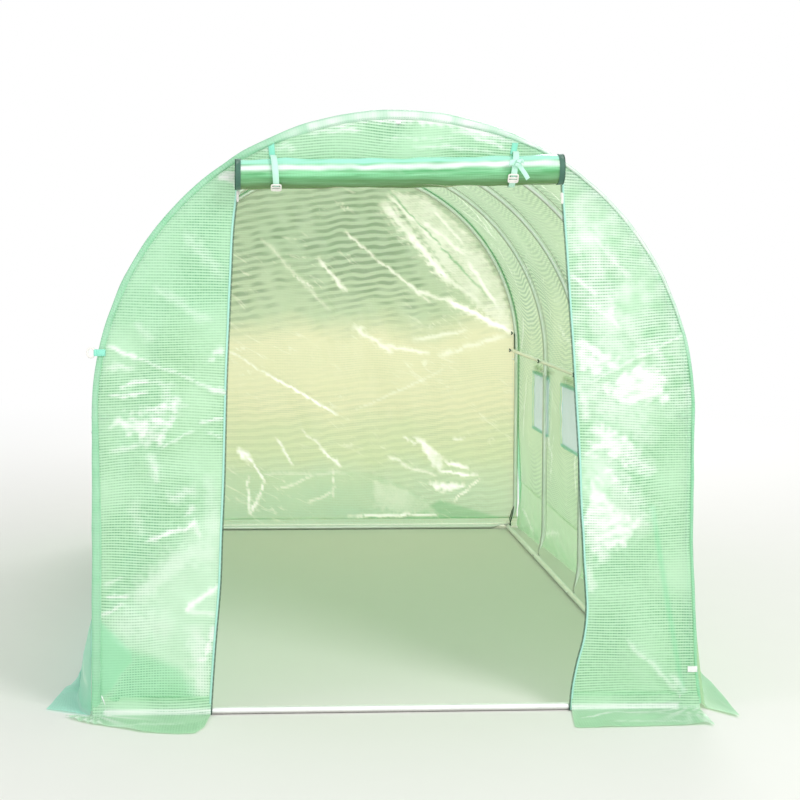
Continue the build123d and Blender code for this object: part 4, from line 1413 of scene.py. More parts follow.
class GREENHOUSE_OT_front(PieceOperator, bpy.types.Operator):
    """Hang the two panels beside the doorway and the one above it"""

    bl_idname = "greenhouse.front"
    bl_label = "Front panels"

    def execute(self, context):
        step = context.scene.greenhouse_sizes.panel_step
        self.panel(step, -1, "left_door_side", LEFT_FOLDS, LEFT_PATCHES)
        self.panel(step, 1, "right_door_side", RIGHT_FOLDS, RIGHT_PATCHES)
        rows = steps_between((DOOR_HEAD - 0.004, SPRING + RADIUS - 0.006), step)
        share = np.linspace(-1, 1, round(1.2 / step / 1.4))
        z = np.repeat(rows[:, None], len(share), 1)
        x = share * rim_at(z)
        lift, shine = folds_at(x, z, HEAD_FOLDS, 8)
        hold = unit((RADIUS - 0.010 - np.hypot(x, z - SPRING)) / 0.05)
        y = FRONT_FACE - hold * (lift - 0.0015 * waves(x, z, 41, 0.22))
        cloth, depth = woven(x, z, 42)
        mesh = grid_mesh("door_head_panel", stacked(x, y, z), cloth, glare=shine, depth=depth)
        piece = add_piece(mesh, "front film", ["top_front_panel"])
        return {"FINISHED"}

    def panel(self, step, side, name, folds, patches):
        """One panel, from the doorway's edge out to the hem of the arch."""
        edge = curve_through(LEFT_EDGE if side < 0 else RIGHT_EDGE)
        rows = steps_between((0.050, DOOR_HEAD + 0.004), step)
        share = np.linspace(0, 1, round(0.42 / step))[::side]
        z = np.repeat(rows[:, None], len(share), 1)
        rim, near = rim_at(z), edge(z)
        x = side * (near + (rim - near) * share) + flare(side, z) * share
        lift, shine = folds_at(x, z, folds, 7)
        torn_x, torn_z = x + 0.016 * waves(x, z, 8, 0.05), z + 0.012 * waves(x, z, 18, 0.035)
        blotched = np.clip(0.80 + 0.30 * waves(x, z, 28, 0.045, 2.0), 0.2, 1)
        for outline in patches:
            shine = np.maximum(shine, inside(torn_x, torn_z, outline, 0.022) * blotched)
        slack = np.sin(math.pi * share) ** 0.8 * unit((rim - near) / 0.4)
        billow = 0.0035 * waves(x, z, 21 + side, 0.30) + 0.0015 * waves(x, z, 31, 0.09)
        y = FRONT_FACE - lift + slack * billow
        cloth, depth = woven(x, z, 43 + side)
        if side < 0:
            node = "left_front_panel"
            plain, darkest = inside(x, z, PLAIN, 0.012), inside(x, z, DARKEST, 0.03)
            dots = inside(x, z, DOTTED, 0.03) + darkest
            depth = unit(depth + 0.4 * darkest - 0.15 * dots) * (1 - 0.65 * plain)
            # Painted highlight over the dotted part and painted shade of the shadowed ground behind in the
            # darkest part; the plain part and the film towards the top are coloured darker
            shine = unit(shine + 0.16 * inside(x, z, DOTTED, 0.05) - 0.1 * darkest)
            double = 0.75 * plain + 0.45 * darkest * (1 - plain) + 0.22 * unit((z - 1.15) / 0.2)
        else:
            node, dots = "right_front_panel", 0.0
            double = 0.60 * inside(x, z, TEAL_BAND, 0.010)
            lit = 0.30 * unit((z - 0.95) / 0.1) * (0.6 + 0.5 * waves(x + z, x - z, 9, 0.10))
            shine = unit(shine + lit)
        mesh = grid_mesh(
            name, stacked(x, y, z), cloth, glare=shine, double=double, dots=dots, depth=depth)
        piece = add_piece(mesh, "front film", [node])


class GREENHOUSE_OT_back(PieceOperator, bpy.types.Operator):
    """Close the back of the tunnel with one sheet, its foot turned up inside"""

    bl_idname = "greenhouse.back"
    bl_label = "Back sheet"

    def execute(self, context):
        step = context.scene.greenhouse_sizes.back_step
        rows = steps_between((0.055, SPRING, SPRING + RADIUS - 0.006), step)
        share = np.linspace(-1, 1, round(2 * RADIUS / step))
        z = np.repeat(rows[:, None], len(share), 1)
        x = share * rim_at(z)
        lift, shine = folds_at(x, z, BACK_FOLDS, 9)
        turned, foot = inside(x, z, TURNED_UP), inside(x, z, DARK_FOOT, 0.015)
        slack = unit(1 - np.abs(share)) ** 0.5
        billow = 0.0045 * waves(x, z, 51, 0.36) + 0.0018 * waves(x, z, 52, 0.10)
        y = BACK_FACE + lift - 0.003 * turned + slack * billow - 0.004 * slack
        torn_x, torn_z = x + 0.009 * waves(x, z, 54, 0.05), z + 0.007 * waves(x, z, 58, 0.04)
        blotched = 0.80 + 0.22 * waves(x, z, 57, 0.16) + 0.14 * waves(x + z, x - z, 59, 0.07, 2.5)
        blotched = unit(blotched)
        # A thin painted shadow line across the back sheet, dark and without shine
        _, shadow_line = folds_at(x, z, ((0.274, 1.865, 0.821, 1.290, 0.007, 1.0, 0.0),), 77)
        for outline, bright in BACK_PATCHES:
            shine = np.maximum(shine, bright * inside(torn_x, torn_z, outline, 0.02) * blotched)
        shine = shine * (1 - shadow_line)
        cloth, depth = woven(x, z, 53, 0.5)
        phase = (z - 0.14 * x + 0.012 * waves(x, z, 55, 0.7) + 0.0035 * waves(x, z, 75, 0.10)) / 0.040
        patchy = 0.62 - 0.25 * x + 0.4 * waves(x, z, 56, 0.6) + 0.3 * waves(x, z, 76, 0.12)
        ripple = 0.85 * unit((z - 1.02) / 0.25) * np.clip(patchy, 0.05, 1)
        ripple = ripple + 0.18 * unit((0.95 - z) / 0.3) * (1 - turned)
        double = np.maximum(np.maximum(turned * 0.22, foot * 0.8), shadow_line)
        mesh = grid_mesh("back_sheet", stacked(x, y, z), cloth, True, glare=shine, double=double,
                         phase=phase, ripple=ripple, depth=depth)
        piece = add_piece(mesh, "back film", ["back_wall_film"])
        return {"FINISHED"}


class GREENHOUSE_OT_hems(PieceOperator, bpy.types.Operator):
    """Wrap a doubled band of film round each end hoop"""

    bl_idname = "greenhouse.hems"
    bl_label = "End hems"

    def execute(self, context):
        wide = context.scene.greenhouse_sizes.hem_width
        s = steps_between((0.02, SPRING, SPRING + ARCH_LENGTH, COVER_LENGTH - 0.02), 0.018)
        profile = (
            (-wide, 0.0002), (-wide * 0.97, -0.0016), (-wide * 0.6, -0.0034), (-wide * 0.25, -0.0030),
            (-0.003, -0.0010), (0.0002, 0.0022), (0.0016, 0.007), (0.0020, 0.016), (0.0016, 0.026),
            (0.0012, 0.034), (0.0004, 0.0345),
        )
        level = 0 * s
        share = s / COVER_LENGTH
        narrow = np.interp(share, (0.40, 0.46, 0.56, 0.62, 0.80, 0.88), (0.36, 1.0, 1.0, 0.62, 0.62, 1.0))
        bright = np.interp(share, (0.22, 0.29, 0.45, 0.56, 0.61), (0.1, 0.9, 0.9, 0.8, 0.2))
        flat = np.array((0.5, 0.9, 1.0, 1.0, 0.7, 0.3, 0.3, 0.5, 0.5, 0.4, 0.4))[:, None]
        rim = np.array((0.5, 0.1, 0.0, 0.0, 0.3, 0.7, 0.7, 0.3, 0.1, 0.1, 0.1))[:, None]
        for name, end, way in (("front_hem", FRONT, 1), ("back_hem", BACK, -1)):
            bands = []
            for k, (out, deep) in enumerate(profile):
                y = end + way * deep + 0.0008 * waves(s, level + k * 0.02, 61, 0.06)
                puckered = 0.0010 * waves(s, level, 62, 0.13) * (k not in (0, 9, 10))
                bands.append(cover_points(s, y, out * (narrow if out < 0 else 1.0) + puckered))
            along = running([math.dist(a, b) for a, b in zip(profile, profile[1:])])
            depth = 0.34 - 0.18 * (bright + 0 * along[:, None])
            cloth, depth = woven(*np.meshgrid(s, along)[::-1], 65, depth=depth)
            uneven = unit(0.9 + 0.3 * waves(s, level, 64, 0.08))
            shine = flat * (bright if way > 0 else 0.1) * uneven
            double = rim * (0.6 + level) * (way > 0)
            mesh = grid_mesh(name, np.stack(bands), cloth, way < 0, glare=shine, double=double, depth=depth)
            piece = add_piece(mesh, "hem film")
        return {"FINISHED"}


class GREENHOUSE_OT_skirts(PieceOperator, bpy.types.Operator):
    """Lay the flaps along the foot of the tunnel on the ground"""

    bl_idname = "greenhouse.skirts"
    bl_label = "Ground flaps"

    def execute(self, context):
        # Along each side flap, from its front corner back: where it meets the ground, where its toe
        # lies, and how far the toe is drawn back at the front
        self.side_flap(
            -1,
            ((-1.746, 1.006), (-1.70, 1.030), (-1.60, 1.056), (-1.335, 1.086), (-0.8, 1.070), (1.0, 1.060),
             (1.746, 1.02)),
            ((-1.746, 1.163), (-1.56, 1.142), (-1.40, 1.118), (-1.30, 1.104), (-0.9, 1.115), (1.0, 1.14),
             (1.746, 1.13)),
            0.083,
        )
        self.side_flap(
            1,
            ((-1.746, 1.050), (-1.4, 1.052), (0.3, 1.068), (1.0, 1.040), (1.525, 1.006), (1.746, 1.006)),
            ((-1.746, 1.134), (-1.56, 1.155), (-1.30, 1.162), (0.5, 1.150), (1.746, 1.120)),
            -0.11,
        )
        # Along the foot of each end wall: the place, and where the toe below it lies, across and out
        self.end_flap("left_front_flap", "left_front_skirt", -1, (
            (-0.999, -1.092, 0.004), (-0.997, -1.046, 0.048), (-0.985, -0.993, 0.089),
            (-0.90, -0.905, 0.132),
            (-0.826, -0.826, 0.182), (-0.711, -0.711, 0.205), (-0.657, -0.657, 0.200),
            (-0.628, -0.630, 0.137), (-0.612, -0.612, 0.006),
        ))
        self.end_flap("right_front_flap", "right_front_skirt", -1, (
            (0.593, 0.567, 0.186), (0.60, 0.585, 0.196), (0.78, 0.780, 0.190), (0.92, 0.93, 0.184),
            (1.018, 1.004, 0.178), (1.028, 1.024, 0.198),
        ))
        self.end_flap("back_flap", "back_skirt", 1, (
            (-0.998, -1.0, 0.10), (-0.90, -0.90, 0.175), (-0.5, -0.5, 0.200), (0.0, 0.0, 0.185),
            (0.5, 0.5, 0.200), (0.90, 0.90, 0.180), (1.02, 1.02, 0.11),
        ))
        return {"FINISHED"}

    def side_flap(self, side, contact, toe, toe_back):
        """A flap that hangs from the wall to the ground and lies on it as far as its toe."""
        word = "left" if side < 0 else "right"
        y, d = np.meshgrid(steps_between((-1.746, 1.746), 0.022), np.linspace(0, 1, 34), indexing="ij")
        # The share of the flap that hangs; the rest lies on the ground
        hang = 0.72
        fall, lie = unit(d / hang), unit((d - hang) / (1 - hang))
        top = 0.300 if side < 0 else 0.262
        root = 1.0012 + float(abs(flare(side, top)))
        front = unit((-1.30 - y) / 0.446) ** 1.5
        reach, end = curve_through(contact)(y), curve_through(toe)(y)
        bow = 0.55 if side < 0 else 1.15
        out = root + (reach - root) * fall**bow + (end - reach) * lie
        up = top * (1 - fall) + 0.0036 + 0.003 * np.sin(math.pi * lie)
        loose = np.sin(math.pi * d) * (1 - front)
        billow = 0.006 * waves(y, d * 0.4, 71 + side, 0.50) + 0.003 * waves(y, d * 0.4, 73, 0.14)
        out = out + loose * billow
        up = up + np.clip(0.006 * waves(y, d * 0.3, 77 + side, 0.20) * lie, 0, 0.012)
        cloth, depth = woven(y, d * 0.38, 78, 0.4)
        y = y + toe_back * lie * front
        shine = folds_at(y, d * 0.4, [
            (-1.7, 0.20, -1.3, 0.10, 0.012, 0.4, 0), (-0.9, 0.12, -0.5, 0.22, 0.014, 0.45, 0),
            (-0.1, 0.2, 0.3, 0.1, 0.012, 0.5, 0), (0.7, 0.12, 1.1, 0.2, 0.015, 0.4, 0),
            (1.3, 0.24, 1.7, 0.14, 0.012, 0.5, 0)], 12)[1]
        # The part that lies on the ground is coloured darker, more on the right
        double = 0.06 + (0.2 if side < 0 else 0.6) * lie
        mesh = grid_mesh(f"{word}_side_flap", stacked(side * out, y, up), cloth, side < 0,
                         glare=shine, double=double, depth=depth)
        film = "skirt film" if side < 0 else "tunnel film"
        piece = add_piece(mesh, film, [f"{word}_skirt"])

    def end_flap(self, name, node, way, edge):
        """A flap from the foot of an end wall, bent out over the ground as far as its toe."""
        wall = FRONT if way < 0 else BACK
        run = running([math.dist(a[1:], b[1:]) for a, b in zip(edge, edge[1:])])
        stops = steps_between(tuple(run), 0.010)
        root, toe, reach = (np.interp(stops, run, column)[:, None] for column in zip(*edge))
        d = np.linspace(0, 1, 26)[None]
        # The share of the flap that hangs, the height it hangs from and how far out it bends
        hang, top, bend = 0.26, 0.064, 0.011
        fall, lie = unit(d / hang), unit((d - hang) / (1 - hang))
        out = bend * fall**2 + (reach - bend) * lie
        x = root + (toe - root) * lie
        swell = np.clip(0.005 * waves(x, d * 0.25, 83, 0.16) * lie, 0, 0.010)
        up = top - 0.058 * fall - 0.0025 * lie + swell
        # Pleats run out from the foot of each corner of the tunnel
        corner = 0.99
        away = np.hypot(np.abs(x) - corner, out)
        turn = np.arctan2(out, corner - np.abs(x))
        pleat = np.cos(turn * 15.0 + 1.5 * np.sin(turn * 4.0)) * np.exp(-((away / 0.15) ** 2))
        pleat = pleat * unit(away / 0.03)
        up = up + 0.0040 * (1 + pleat) * lie * np.exp(-((away / 0.2) ** 2))
        cloth, depth = woven(x + 0 * d, -0.3 * lie + top - 0.06 * fall + 0 * x, 85, 0.8)
        rows = top - 0.058 * fall + 0 * x
        shine = 0.95 * np.exp(-(((rows - 0.016) / 0.007) ** 2)) * (lie == 0) * (np.abs(x) < 0.96)
        folds = [(0.60, 0.10, 0.72, 0.03, 0.007, 0.9, 0), (0.71, 0.03, 0.86, 0.035, 0.006, 0.7, 0),
                 (0.86, 0.04, 0.99, 0.10, 0.010, 0.5, 0), (0.7, 0.13, 0.95, 0.15, 0.010, 0.45, 0),
                 (-0.95, 0.12, -0.7, 0.09, 0.012, 0.4, 0), (-0.4, 0.1, 0.1, 0.15, 0.012, 0.4, 0)]
        shine = np.maximum(shine, folds_at(x + 0 * d, reach * lie, folds, 14)[1])
        shine = np.maximum(shine, np.clip(pleat * 0.8, 0, 0.7) * (lie > 0))
        y = wall + way * (out + 0.0006)
        mesh = grid_mesh(name, stacked(x + 0 * d, y + 0 * x, up + 0 * x), cloth, way < 0,
                         glare=shine, depth=depth)
        piece = add_piece(mesh, "front film" if way < 0 else "back film", [node])


class GREENHOUSE_OT_door_roll(PieceOperator, bpy.types.Operator):
    """Roll the door up under the front arch and edge the roll with its zip tapes"""

    bl_idname = "greenhouse.door_roll"
    bl_label = "Rolled door"

    def execute(self, context):
        start, lean = math.radians(120), math.tan(ROLL_TILT)
        turn = np.linspace(0, math.tau * 4.75, 340)
        growth = (ROLL_RADIUS - 0.0125) / turn[-1]

        def wound(x, turn, radius):
            """Points of the roll at each place across, turn and distance from its axis."""
            turn = turn + start
            y, z = ROLL_Y + np.cos(turn) * radius, ROLL_Z + np.sin(turn) * radius
            return stacked(x, y, z + x * lean)

        x_line = np.linspace(-ROLL_HALF, ROLL_HALF, 96)
        x, t = np.meshgrid(x_line, turn, indexing="ij")
        loose = (0.0006 + 0.0016 * (t / turn[-1]) ** 2) * unit((ROLL_HALF - np.abs(x)) / 0.05)
        wrinkle = waves(x * 0.30, np.sin(t) * 0.05, 91, 0.035) + 0.5 * waves(x, np.cos(t) * 0.06, 92, 0.09)
        points = wound(x, t, ROLL_CORE + growth * t + loose * wrinkle)
        points[..., Z] -= 0.0025 * np.cos(x / ROLL_HALF * math.pi / 2)
        rise = np.sin(t + start)
        long = running(np.diff(turn) * (ROLL_CORE + growth * turn[1:]))
        cloth = stacked(x, np.broadcast_to(long, x.shape))
        wander = 0.04 * waves(x, 0 * x, 94, 0.35) + 0.04 * waves(x, rise * 0.05, 95, 0.08)
        # Painted highlight along the upper front of the roll, painted shade on its underside (low) and
        # painted light on its top (high)
        shine = unit(1.4 - np.abs(rise - 0.36 - wander) / 0.20) * (np.cos(t + start) < 0.3)
        shine = shine * unit(0.92 - 0.5 * x * (x < 0) + 0.25 * waves(x, 0 * x, 96, 0.2))
        low = unit((-0.15 - rise) / 0.80)
        high = unit((rise - 0.55) / 0.12)
        mesh = grid_mesh("rolled_door", points, cloth, glare=shine, low=low, high=high)
        piece = add_piece(mesh, "rolled film", ["door_roll"])
        ends, coils = [], []
        for side in (-1, 1):
            outer = turn[40:]
            b, t = np.meshgrid(np.linspace(0, 0.016, 6), outer, indexing="ij")
            radius = ROLL_CORE + growth * t + 0.0024 + 0.0003 * np.sin(t * 41)
            cloth = stacked(b, np.broadcast_to(long[40:], b.shape))
            points = wound(side * (ROLL_HALF - 0.0005 - b), t, radius)
            ends.append(grid_mesh("end", points, cloth, side > 0))
            x = 0 * outer + side * (ROLL_HALF + 0.0008)
            coils.append(wound(x, outer, ROLL_CORE + growth * outer + 0.0016))
        add_piece(join_meshes("roll_end_tapes", ends), "dark zip tape")
        grown("roll_end_teeth", path_curve("roll_end_teeth", coils), bead_tree(True),
              {"Pitch": 0.0045, "Size": (0.0026, 0.0022, 0.0030), "Up": (1.0, 0.0, 0.0)}, "zip coil")
        return {"FINISHED"}


class GREENHOUSE_OT_straps(PieceOperator, bpy.types.Operator):
    """Hang the two straps that hold the rolled door, with their buckles"""

    bl_idname = "greenhouse.straps"
    bl_label = "Straps and buckles"

    def execute(self, context):
        wide = context.scene.greenhouse_sizes.strap_width
        inset = 0.0165
        left, right = lowest("door_straps", X) + inset, highest("door_straps", X) - inset
        radius = ROLL_RADIUS + 0.0026
        straps, buckles = [], []
        # Each strap's middle, how far it leans out at the top, and its buckle's angle below level
        for mid, lean, below in ((left, -0.008, 52.0), (right, 0.012, 31.0)):
            centre_z = ROLL_Z + mid * math.tan(ROLL_TILT)
            start, top = centre_z + 0.052, highest("door_straps", Z) - 0.003
            tail = [(mid + lean * (0.4 + 0.6 * u), FRONT - 0.0012, start + (top - start) * u)
                    for u in np.linspace(1, 0, 8)]
            loop = [(mid + lean * (0.4 - 1.4 * math.sin(k / 59 * math.pi) ** 2),
                     ROLL_Y - math.cos(angle) * radius,
                     centre_z + math.sin(angle) * radius)
                    for k, angle in enumerate(np.radians(np.linspace(118, -235, 60)))]
            straps.append(ribbon("strap", tail + loop, (1, 0, 0), wide, 0.0016))
            angle = math.radians(-below)
            out = np.array((0, -math.cos(angle), math.sin(angle)))
            up = np.array((0, math.sin(angle), math.cos(angle)))
            where = np.array((mid - lean, ROLL_Y, centre_z)) + out * (radius + 0.0034)
            buckles.append(frame_ring("buckle", where, (1, 0, 0), up, 0.036, 0.034, 0.0058, 0.0045))
            for shift, thick in ((0.0015, 0.0030), (-0.0085, 0.0042)):
                bar = [ring_points(where + np.array((u, 0, 0)) + up * shift, up, out, thick, 0.0022, 8)
                       for u in np.linspace(-0.0155, 0.0155, 7)]
                buckles.append(lofted("bar", bar))
        add_piece(join_meshes("roll_straps", straps), "webbing", ["door_straps"])
        add_piece(join_meshes("strap_knot", self.knot(mid, centre_z, ROLL_Y - radius)), "webbing")
        add_piece(join_meshes("roll_buckles", buckles), "white plastic", ["strap_buckles"])
        return {"FINISHED"}

    def knot(self, x, z, y):
        """The spare length of the right strap, tied in a slack bow on the front of the roll."""
        made = []
        for reach, rise, width, turn in ((-0.027, 0.002, 0.017, 0.10), (0.018, 0.008, 0.014, -0.2)):
            path = []
            for u in np.linspace(0, 1, 26):
                far = math.sin(math.pi * u) ** 0.7
                ahead = 0.004 + 0.010 * u * (1 - u) * 4 * 0.6 + 0.004 * (u > 0.5) * far
                path.append((x + reach * far, y - ahead, z + 0.016 + rise * far + 0.003 * math.sin(9 * u)))
            made.append(ribbon("wing", path, np.array((turn, 0.12, 0.99)), width, 0.0014))
        lump = [(x + 0.006 * math.sin(a), y - 0.009 - 0.005 * math.cos(a), z + 0.018 + 0.011 * math.sin(a))
                for a in np.linspace(0, math.tau * 0.98, 22)]
        made.append(ribbon("lump", lump, np.array((0.95, 0.0, -0.30)), 0.013, 0.0014))
        fall = [(x + 0.004 + 0.030 * u, y - 0.007 + 0.003 * math.sin(6 * u),
                 z + 0.012 - 0.040 * u - 0.006 * u * u)
                for u in np.linspace(0, 1, 16)]
        made.append(ribbon("fall", fall, np.array((0.82, 0.10, 0.57)), 0.015, 0.0014))
        return made


class GREENHOUSE_OT_zips(PieceOperator, bpy.types.Operator):
    """Sew the zip halves to the doorway's edges, with their sliders at the top"""

    bl_idname = "greenhouse.zips"
    bl_label = "Door zips"

    def execute(self, context):
        sizes = context.scene.greenhouse_sizes
        tapes, teeth, pulls = [], [], []
        for side, edge in ((-1, curve_through(LEFT_EDGE)), (1, curve_through(RIGHT_EDGE))):
            z_line = steps_between((0.004, DOOR_HEAD), 0.012)
            near = edge(z_line)
            level, wide = 0 * z_line, sizes.zip_width
            profile = (
                (-0.002, 0.0), (-0.0015, 0.0022), (wide * 0.5, 0.0026), (wide, 0.0024),
                (wide + 0.0005, 0.0),
            )
            bands = [stacked(side * (near + off), level + FRONT - out, z_line) for off, out in profile]
            across = np.array((0.0, 0.002, 0.010, 0.018, 0.020))
            cloth = np.stack(np.meshgrid(z_line, across)[::-1], -1)
            tapes.append(grid_mesh("tape", np.stack(bands), cloth, side > 0))
            teeth.append(stacked(side * (near - 0.0035), level + FRONT - 0.0012, z_line))
            x = side * float(edge(DOOR_HEAD - 0.075) - 0.0035)
            for centre, half, square in (
                ((x, FRONT - 0.004, DOOR_HEAD - 0.075), (0.0055, 0.0035, 0.008), 0.5),
                ((x + side * 0.001, FRONT - 0.0085, DOOR_HEAD - 0.088), (0.0042, 0.0012, 0.016), 0.45),
            ):
                sections = []
                for h in (-1, -0.9, -0.5, 0, 0.5, 0.9, 1):
                    bulge = math.sqrt(1 - 0.72 * h**6)
                    place = (centre[X], centre[Y], centre[Z] + h * half[Z])
                    sections.append(ring_points(
                        place, (1, 0, 0), (0, 1, 0), half[X] * bulge, half[Y] * bulge, 14, square))
                pulls.append(lofted("pull", sections))
        add_piece(join_meshes("door_zip_tape", tapes), "zip tape", ["door_zip_tapes"])
        grown("door_zip_teeth", path_curve("door_zip_teeth", teeth), bead_tree(True),
              {"Pitch": sizes.tooth_pitch, "Size": (0.0024, 0.0052, 0.0026), "Up": (0.0, -1.0, 0.0)},
              "zip coil")
        add_piece(join_meshes("zip_pulls", pulls), "white plastic")
        return {"FINISHED"}


class GREENHOUSE_OT_windows(PieceOperator, bpy.types.Operator):
    """Fit each window with its net, its binding and its flap rolled up above it"""

    bl_idname = "greenhouse.windows"
    bl_label = "Windows"

    def execute(self, context):
        for side, word in ((-1, "left"), (1, "right")):
            nets, borders, rolls, ties = [], [], [], []
            for k, mid in enumerate(WINDOW_Y):
                nets.append(self.net(side, mid, k))
                borders += self.border(side, mid)
                rolls.append(self.roll(side, mid, k))
                ties += self.ties(side, mid)
            piece = add_piece(join_meshes(f"{word}_nets", nets), "insect net",
                              [f"{word}_window_nets"])
            add_piece(join_meshes(f"{word}_window_binding", borders), "window binding")
            piece = add_piece(join_meshes(f"{word}_rolled_flaps", rolls), "rolled film",
                              [f"{word}_window_flaps"])
            add_piece(join_meshes(f"{word}_flap_ties", ties), "webbing")
        return {"FINISHED"}

    def net(self, side, mid, k):
        # How far the net reaches past the window's edge
        lap = 0.006
        wide, tall = WINDOW_HALF + lap, (WINDOW_HEAD - WINDOW_FOOT) / 2 + lap
        y, z = np.meshgrid(np.linspace(mid - wide, mid + wide, 46),
                           np.linspace(WINDOW_FOOT - lap, WINDOW_HEAD + lap, 36))
        folds = (
            (mid - 0.05, 0.90, mid + 0.05, 0.64, 0.008, 0.7, 0.003),
            (mid + 0.1, 0.88, mid + 0.06, 0.70, 0.006, 0.5, 0.002),
        )
        lift, shine = folds_at(y, z, folds, 15 + k)
        off = np.abs(z - (WINDOW_FOOT + WINDOW_HEAD) / 2)
        hold = unit(1 - (np.abs(y - mid) / wide) ** 4) * unit(1 - (off / tall) ** 4)
        x = side * (RADIUS - 0.003 - hold * (lift + 0.004 + 0.0018 * waves(y, z, 16 + k, 0.12)))
        return grid_mesh("net", stacked(x, y, z), stacked(y, z), side < 0, glare=shine)

    def border(self, side, mid):
        made = []
        half = WINDOW_HALF
        near, far = mid - half - 0.008, mid + half + 0.008
        for y0, y1, z0, z1 in (
            (near, far, WINDOW_HEAD - 0.004, WINDOW_HEAD + 0.012),
            (near, far, WINDOW_FOOT - 0.011, WINDOW_FOOT + 0.003),
            (near, mid - half + 0.004, WINDOW_FOOT, WINDOW_HEAD),
            (mid + half - 0.004, far, WINDOW_FOOT, WINDOW_HEAD),
        ):
            for face, way in ((0.0022, 1), (-0.0084, -1)):
                y, z = np.meshgrid(steps_between((y0, y1), 0.010), steps_between((z0, z1), 0.010))
                rim = np.minimum(np.minimum(y - y0, y1 - y), np.minimum(z - z0, z1 - z))
                puff = unit(rim / 0.004) ** 0.5 * 0.0012
                slack = cover_slack(z, y) + 0.0004 * waves(y, z, 17, 0.05)
                x = side * (RADIUS + face + way * puff + slack)
                cloth = np.stack([y, z] if y1 - y0 > z1 - z0 else [z, y], -1)
                made.append(grid_mesh("border", stacked(x, y, z), cloth, (side < 0) != (way < 0)))
        return made

    def roll(self, side, mid, k):
        half = 0.2025
        turn = np.linspace(0, math.tau * 5.2, 150)
        y, t = np.meshgrid(np.linspace(mid - half, mid + half, 34), turn, indexing="ij")
        wrinkle = 0.0007 * waves(y * 0.3, np.sin(t) * 0.03, 93 + k, 0.03)
        radius = 0.004 + 0.0086 * t / turn[-1] + wrinkle
        x = side * (FLAP_X - np.cos(t) * radius)
        z = FLAP_Z + np.sin(t) * radius - 0.002 * np.cos((y - mid) / half * math.pi * 1.5)
        long = np.cumsum(np.full(len(turn), 0.0022))
        cloth = stacked(y, np.broadcast_to(long, y.shape))
        return grid_mesh("roll", stacked(x, y, z), cloth, side > 0)

    def ties(self, side, mid):
        made = []
        radius = 0.0155
        for y in (mid - 0.12, mid + 0.12):
            loop = [(side * (FLAP_X - math.cos(a) * radius), y, FLAP_Z + math.sin(a) * radius)
                    for a in np.linspace(0, math.tau * 0.97, 26)]
            made.append(ribbon("tie", loop, (0, 1, 0), 0.016, 0.0012))
            tail = [(side * (RADIUS + 0.004 + 0.010 * math.sin(u * 2.2)), y + 0.008 * u,
                     FLAP_Z - 0.014 - 0.05 * u)
                    for u in np.linspace(0, 1, 12)]
            made.append(ribbon("tail", tail, (0, 1, 0), 0.014, 0.0012))
        return made


class GREENHOUSE_OT_trimmings(PieceOperator, bpy.types.Operator):
    """Add the stitching, the guy rings with their tabs and the sewn label"""

    bl_idname = "greenhouse.trimmings"
    bl_label = "Stitches, rings and label"

    def execute(self, context):
        sizes = context.scene.greenhouse_sizes
        wide = sizes.hem_width
        s = steps_between((0.05, SPRING, SPRING + ARCH_LENGTH, COVER_LENGTH - 0.05), 0.02)
        front_seam = cover_points(s, FRONT - 0.0036, -wide * 0.82)
        back_seam = cover_points(s, BACK + 0.0036, -wide * 0.82)
        inner_seam = cover_points(s, BACK - 0.0045, -wide * 1.15)
        stitch = bead_tree(False)
        thread = {"Pitch": sizes.stitch_pitch, "Size": (0.0046, 0.0013, 0.0013)}
        for name, paths, up in (("front_hem_stitches", [front_seam], (0.0, -1.0, 0.0)),
                                ("back_hem_stitches", [back_seam, inner_seam], (0.0, 1.0, 0.0))):
            grown(name, path_curve(name, paths), stitch, {**thread, "Up": up}, "thread")
        for side, word in ((-1, "left"), (1, "right")):
            paths = []
            for mid in WINDOW_Y:
                y0, y1 = mid - WINDOW_HALF - 0.008, mid + WINDOW_HALF + 0.008
                z0, z1 = WINDOW_FOOT - 0.014, WINDOW_HEAD + 0.013
                box = np.array([(y0, z0), (y1, z0), (y1, z1), (y0, z1), (y0, z0)])
                paths.append(np.array([
                    (side * (RADIUS + 0.0030 + float(cover_slack(z, y))), y, z) for y, z in box]))
            name = f"{word}_window_stitches"
            grown(name, path_curve(name, paths), stitch, {**thread, "Up": (float(side), 0.0, 0.0)},
                  "thread")
        rings, tabs = [], []
        ring_x, ring_z = -1.002, 1.203
        for y, way in ((FRONT - 0.0045, -1), (BACK + 0.0045, 1)):
            sections = []
            for a in np.linspace(0, math.tau, 29)[:-1]:
                out, up = math.cos(a), math.sin(a)
                place = (ring_x + 0.0125 * out, y, ring_z + 0.0155 * up)
                sections.append(ring_points(place, (out, 0, up), (0, 1, 0), 0.0034, 0.0030, 10))
            rings.append(closed_ring("ring", sections))
            hang = [(-0.955 - 0.034 * u, y + way * 0.0025 * math.sin(u * math.pi), ring_z)
                    for u in np.linspace(0, 1, 8)]
            fold = [(-0.9885 - 0.0045 * math.cos(a), y + way * 0.0045 * math.sin(a), ring_z)
                    for a in np.linspace(0, math.tau * 0.98, 18)]
            tabs += [ribbon(word, path, (0, 0, 1), 0.022, 0.0014) for word,
                     path in (("tab", hang), ("fold", fold))]
        add_piece(join_meshes("guy_rings", rings), "white plastic")
        add_piece(join_meshes("guy_tabs", tabs), "webbing")
        x, z = np.meshgrid(np.linspace(0.986, 1.019, 10), np.linspace(0.128, 0.148, 8))
        y = FRONT - 0.0042 - 0.0008 * np.sin((x - 0.986) / 0.033 * math.pi) + 0.0004 * waves(x, z, 95, 0.02)
        label = grid_mesh("sewn_label", stacked(x, y, z), stacked(x, z))
        add_piece(label, "label cloth")
        return {"FINISHED"}


